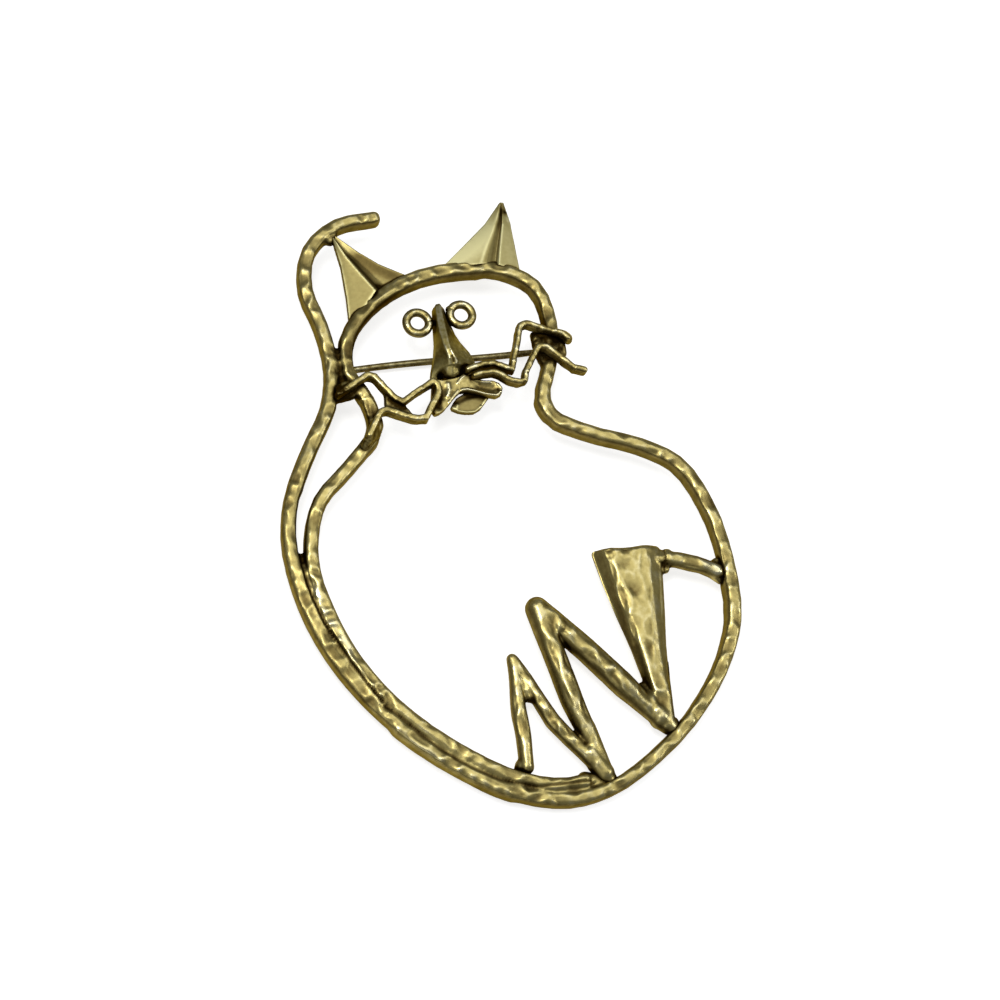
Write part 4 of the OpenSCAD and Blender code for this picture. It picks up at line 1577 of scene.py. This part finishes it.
@dataclass
class PatinaAndPaintedLight:
    """Works out where the metal is rubbed bright and where it stays dark, with painted light and shade mixed
    in.

    Attributes:
        reach: how far off another surface still keeps a place dark, with patina and painted shade.
        rays: how many directions are tried.
        clear: how far off the surface they start.
        grazing: how steep a direction has to be over the surface, as a cosine.
        plain: wear of a place that nothing rubs.
        side: lighter where the metal doesn't face down, so what faces down gets painted shade.
        crown: lighter on what faces up, from rubbing and painted light.
        back: more wear on what faces down.
        wall: painted shade on walls.
        corner: more wear on corners, and less in fine hollows.
        dent: more wear between the dents, and less in them.
        hollow: darker in what is shut in, with patina and painted shade.
        scar: less wear in a dark spot.
    """

    reach: float = 1.6
    rays: int = 30
    clear: float = 0.04
    grazing: float = 0.12
    plain: float = 0.085
    side: float = 0.13
    crown: float = 0.33
    back: float = 0.15
    wall: float = 0.07
    corner: float = 0.14
    dent: float = 0.28
    hollow: float = 0.95
    scar: float = 0.55

    def directions(self) -> list[Vector]:
        """Give directions spread evenly over a ball."""
        golden = math.pi * (3.0 - math.sqrt(5.0))
        found = []
        for i in range(self.rays):
            z = 1.0 - 2.0 * (i + 0.5) / self.rays
            r = math.sqrt(1.0 - z * z)
            found.append(Vector((r * math.cos(golden * i), r * math.sin(golden * i), z)))
        return found

    def wear_and_painted_light(self, pieces: Sequence[Piece]) -> None:
        """Write each piece's wear attribute.

        Args:
            pieces: all the pieces, still in the cat's plane.
        """
        bm = bmesh.new()
        for piece in pieces:
            bm.from_mesh(piece.mesh)
        tree = BVHTree.FromBMesh(bm)
        bm.free()
        ways = self.directions()
        for piece in pieces:
            co, no = Metalwork.points(piece.mesh), Metalwork.normals(piece.mesh)
            closed = np.zeros(len(co))
            for i in range(len(co)):
                normal = Vector(no[i])
                start = Vector(co[i]) + normal * self.clear
                hit = total = 0.0
                for way in ways:
                    lean = way.dot(normal)
                    if lean > self.grazing:
                        total += lean
                        found = tree.ray_cast(start, way, self.reach)[3]
                        if found is not None:
                            hit += lean * (1.0 - found / self.reach)
                closed[i] = hit / total
            self.write(piece, co, no, closed)

    def write(self, piece: Piece, co: np.ndarray, no: np.ndarray, closed: np.ndarray) -> None:
        """Mix a piece's rubbing, patina, painted light and painted shade from its slope, corners, dents and
        marks.

        Args:
            piece: the piece.
            co: its points.
            no: their normals.
            closed: how shut in each point is.
        """
        ends = Metalwork.edges(piece.mesh)
        closed = Metalwork.even_out(closed, ends, 4)
        slope = Metalwork.even_out(no[:, 2], ends, 2)
        bulge = self.bulge(co, no, ends, piece.calm)
        height = piece.relief / (np.abs(piece.relief).max() + 1e-6)
        # painted shade on what faces down; what faces up is lighter, from rubbing and painted light
        worn_and_painted_light = self.plain + self.side * ramp(slope, -0.6, 0.1) + self.crown * ramp(slope, 0.55, 0.93)
        worn_and_painted_light += self.back * ramp(-slope, 0.5, 0.9)
        # painted shade on the walls
        worn_and_painted_light -= self.wall * np.exp(-((slope - 0.50) / 0.16) ** 2)
        worn_and_painted_light += self.corner * bulge
        worn_and_painted_light += self.dent * piece.clouds * height * ramp(no[:, 2], 0.3, 0.7)
        worn_and_painted_light += piece.clouds * (0.06 * wander(co, 2.2, 11.0) + 0.05 * wander(co, 0.6, 3.0))
        # patina and painted shade in what is shut in
        worn_and_painted_light -= self.hollow * ramp(closed, 0.03, 0.55)
        worn_and_painted_light -= piece.darkening
        top = ramp(no[:, 2], 0.0, 0.4)
        # the strokes paint tool marks, dark lines, painted highlights and painted shade
        for stroke in piece.strokes:
            worn_and_painted_light += stroke.wear_and_painted_light * stroke.share(co) * (1.0 if stroke.walls else top)
        for spot in piece.scars:
            ragged = 1.0 + 0.5 * wander(co, 0.5, 21.0)
            worn_and_painted_light -= self.scar * np.exp(-nearness(co, spot) ** 2) * ragged
        layer = piece.mesh.attributes.new("wear_and_painted_light", "FLOAT", "POINT")
        layer.data.foreach_set("value", np.clip(worn_and_painted_light, 0.0, 1.0))

    @staticmethod
    def bulge(co: np.ndarray, no: np.ndarray, ends: np.ndarray, calm: int) -> np.ndarray:
        """Give how much each point stands out from its neighbours.

        Args:
            co: the points.
            no: their normals.
            ends: the mesh's edges.
            calm: how often the bulges are evened out.

        Returns:
            One value a point, from -1 in a groove to 1 on a corner.
        """
        step = np.linalg.norm(co[ends[:, 0]] - co[ends[:, 1]], axis=1).mean()
        out = np.einsum("ij,ij->i", co - Metalwork.spread(co, ends), no) * 4.0 / step ** 2
        return np.clip(Metalwork.even_out(out, ends, calm) / 3.0, -1.0, 1.0)


@dataclass
class Studio:
    """Pale floor, soft light and the camera at the photograph's angle.

    Attributes:
        roll: turn of the cat in the picture, in degrees.
        lean: tilt of the view to the left and down, in degrees.
        away: distance of the camera in millimetres.
        lens: focal length on a 36 mm frame.
        middle: height of the cat's plane that the camera looks at.
    """

    roll: float = 12.0
    lean: tuple[float, float] = (12.0, 20.0)
    away: float = 280.0
    lens: float = 72.0
    middle: float = 1.25

    def camera(self) -> None:
        """Set the camera."""
        aim = Vector((-math.sin(math.radians(self.lean[0])), -math.sin(math.radians(self.lean[1])), 0.0))
        aim.z = math.sqrt(1.0 - aim.length_squared)
        side = (-aim).cross(Vector((0.0, 1.0, 0.0))).normalized()
        up = side.cross(-aim)
        turn = Matrix.Rotation(math.radians(-self.roll), 3, "Z")
        lie = CAT.lay.to_3x3() * PER_METRE
        axes = [lie @ (turn @ a) for a in (side, up, aim)]
        place = CAT.lay @ (turn @ (aim * self.away) + Vector((0.0, 0.0, self.middle)))
        eye = bpy.data.cameras.new("camera")
        eye.lens = self.lens
        eye.sensor_width = 36.0
        eye.clip_start = 0.01
        eye.clip_end = 20.0
        rig = bpy.data.objects.new("camera", eye)
        rig.matrix_world = Matrix.Translation(place) @ Matrix(axes).transposed().to_4x4()
        bpy.context.scene.collection.objects.link(rig)
        bpy.context.scene.camera = rig

    def lamp(self, name: str, place: tuple[float, float, float], size: float, watts: float) -> None:
        """Hang one square soft light that faces the cat.

        Args:
            name: its name.
            place: where it hangs, in millimetres in the cat's plane.
            size: its side in millimetres.
            watts: its power.
        """
        light = bpy.data.lights.new(name, "AREA")
        light.size = size / PER_METRE
        light.energy = watts
        rig = bpy.data.objects.new(name, light)
        at = CAT.place(*place)
        rig.matrix_world = Matrix.Translation(at) @ at.to_track_quat("Z", "Y").to_matrix().to_4x4()
        bpy.context.scene.collection.objects.link(rig)

    def floor(self) -> None:
        """Lay the pale floor."""
        bm = bmesh.new()
        bmesh.ops.create_grid(bm, x_segments=1, y_segments=1, size=3.0)
        plain = bpy.data.objects.new("floor", Metalwork.close(bm, "floor"))
        paper = bpy.data.materials.new("paper")
        paper.use_nodes = True
        shader = paper.node_tree.nodes["Principled BSDF"]
        shader.inputs["Base Color"].default_value = (0.62, 0.62, 0.61, 1.0)
        shader.inputs["Roughness"].default_value = 0.9
        shader.inputs["Specular IOR Level"].default_value = 0.1
        shader.inputs["Emission Color"].default_value = (1.0, 1.0, 1.0, 1.0)
        shader.inputs["Emission Strength"].default_value = 0.76
        plain.data.materials.append(paper)
        bpy.context.scene.collection.objects.link(plain)

    def set_up(self) -> None:
        """Set camera, lights, floor and sky."""
        self.camera()
        self.floor()
        self.lamp("key", (-88.0, 42.0, 290.0), 90.0, 0.30)
        self.lamp("overhead", (78.0, 88.0, 305.0), 215.0, 0.21)
        self.lamp("fill", (-250.0, -200.0, 330.0), 200.0, 0.09)
        self.lamp("far_side", (260.0, -40.0, 250.0), 110.0, 0.16)
        sky = bpy.data.worlds.new("sky")
        sky.use_nodes = True
        glow = sky.node_tree.nodes["Background"]
        glow.inputs["Color"].default_value = (0.96, 0.98, 1.0, 1.0)
        glow.inputs["Strength"].default_value = 0.17
        bpy.context.scene.world = sky
        bpy.context.scene.view_settings.view_transform = "Standard"


PIECES: tuple[type[Piece], ...] = (
    OutlineBar, LeftEar, RightEar, LeftEye, RightEye, Nose, Lips, Tongue, LeftWhiskers,
    RightUpperWhisker, RightLowerWhisker, Haunch, HingeCheeks, Rivet, PinStem, HookCatch,
)


def main() -> None:
    """Build, wear and lay down each piece, and set up the studio."""
    logging.basicConfig(level=logging.INFO, format="%(message)s")
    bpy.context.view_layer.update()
    pieces = [kind().build() for kind in PIECES]
    PatinaAndPaintedLight().wear_and_painted_light(pieces)
    for piece in pieces:
        piece.lay_down()
    Studio().set_up()


if __name__ == "__main__":
    main()
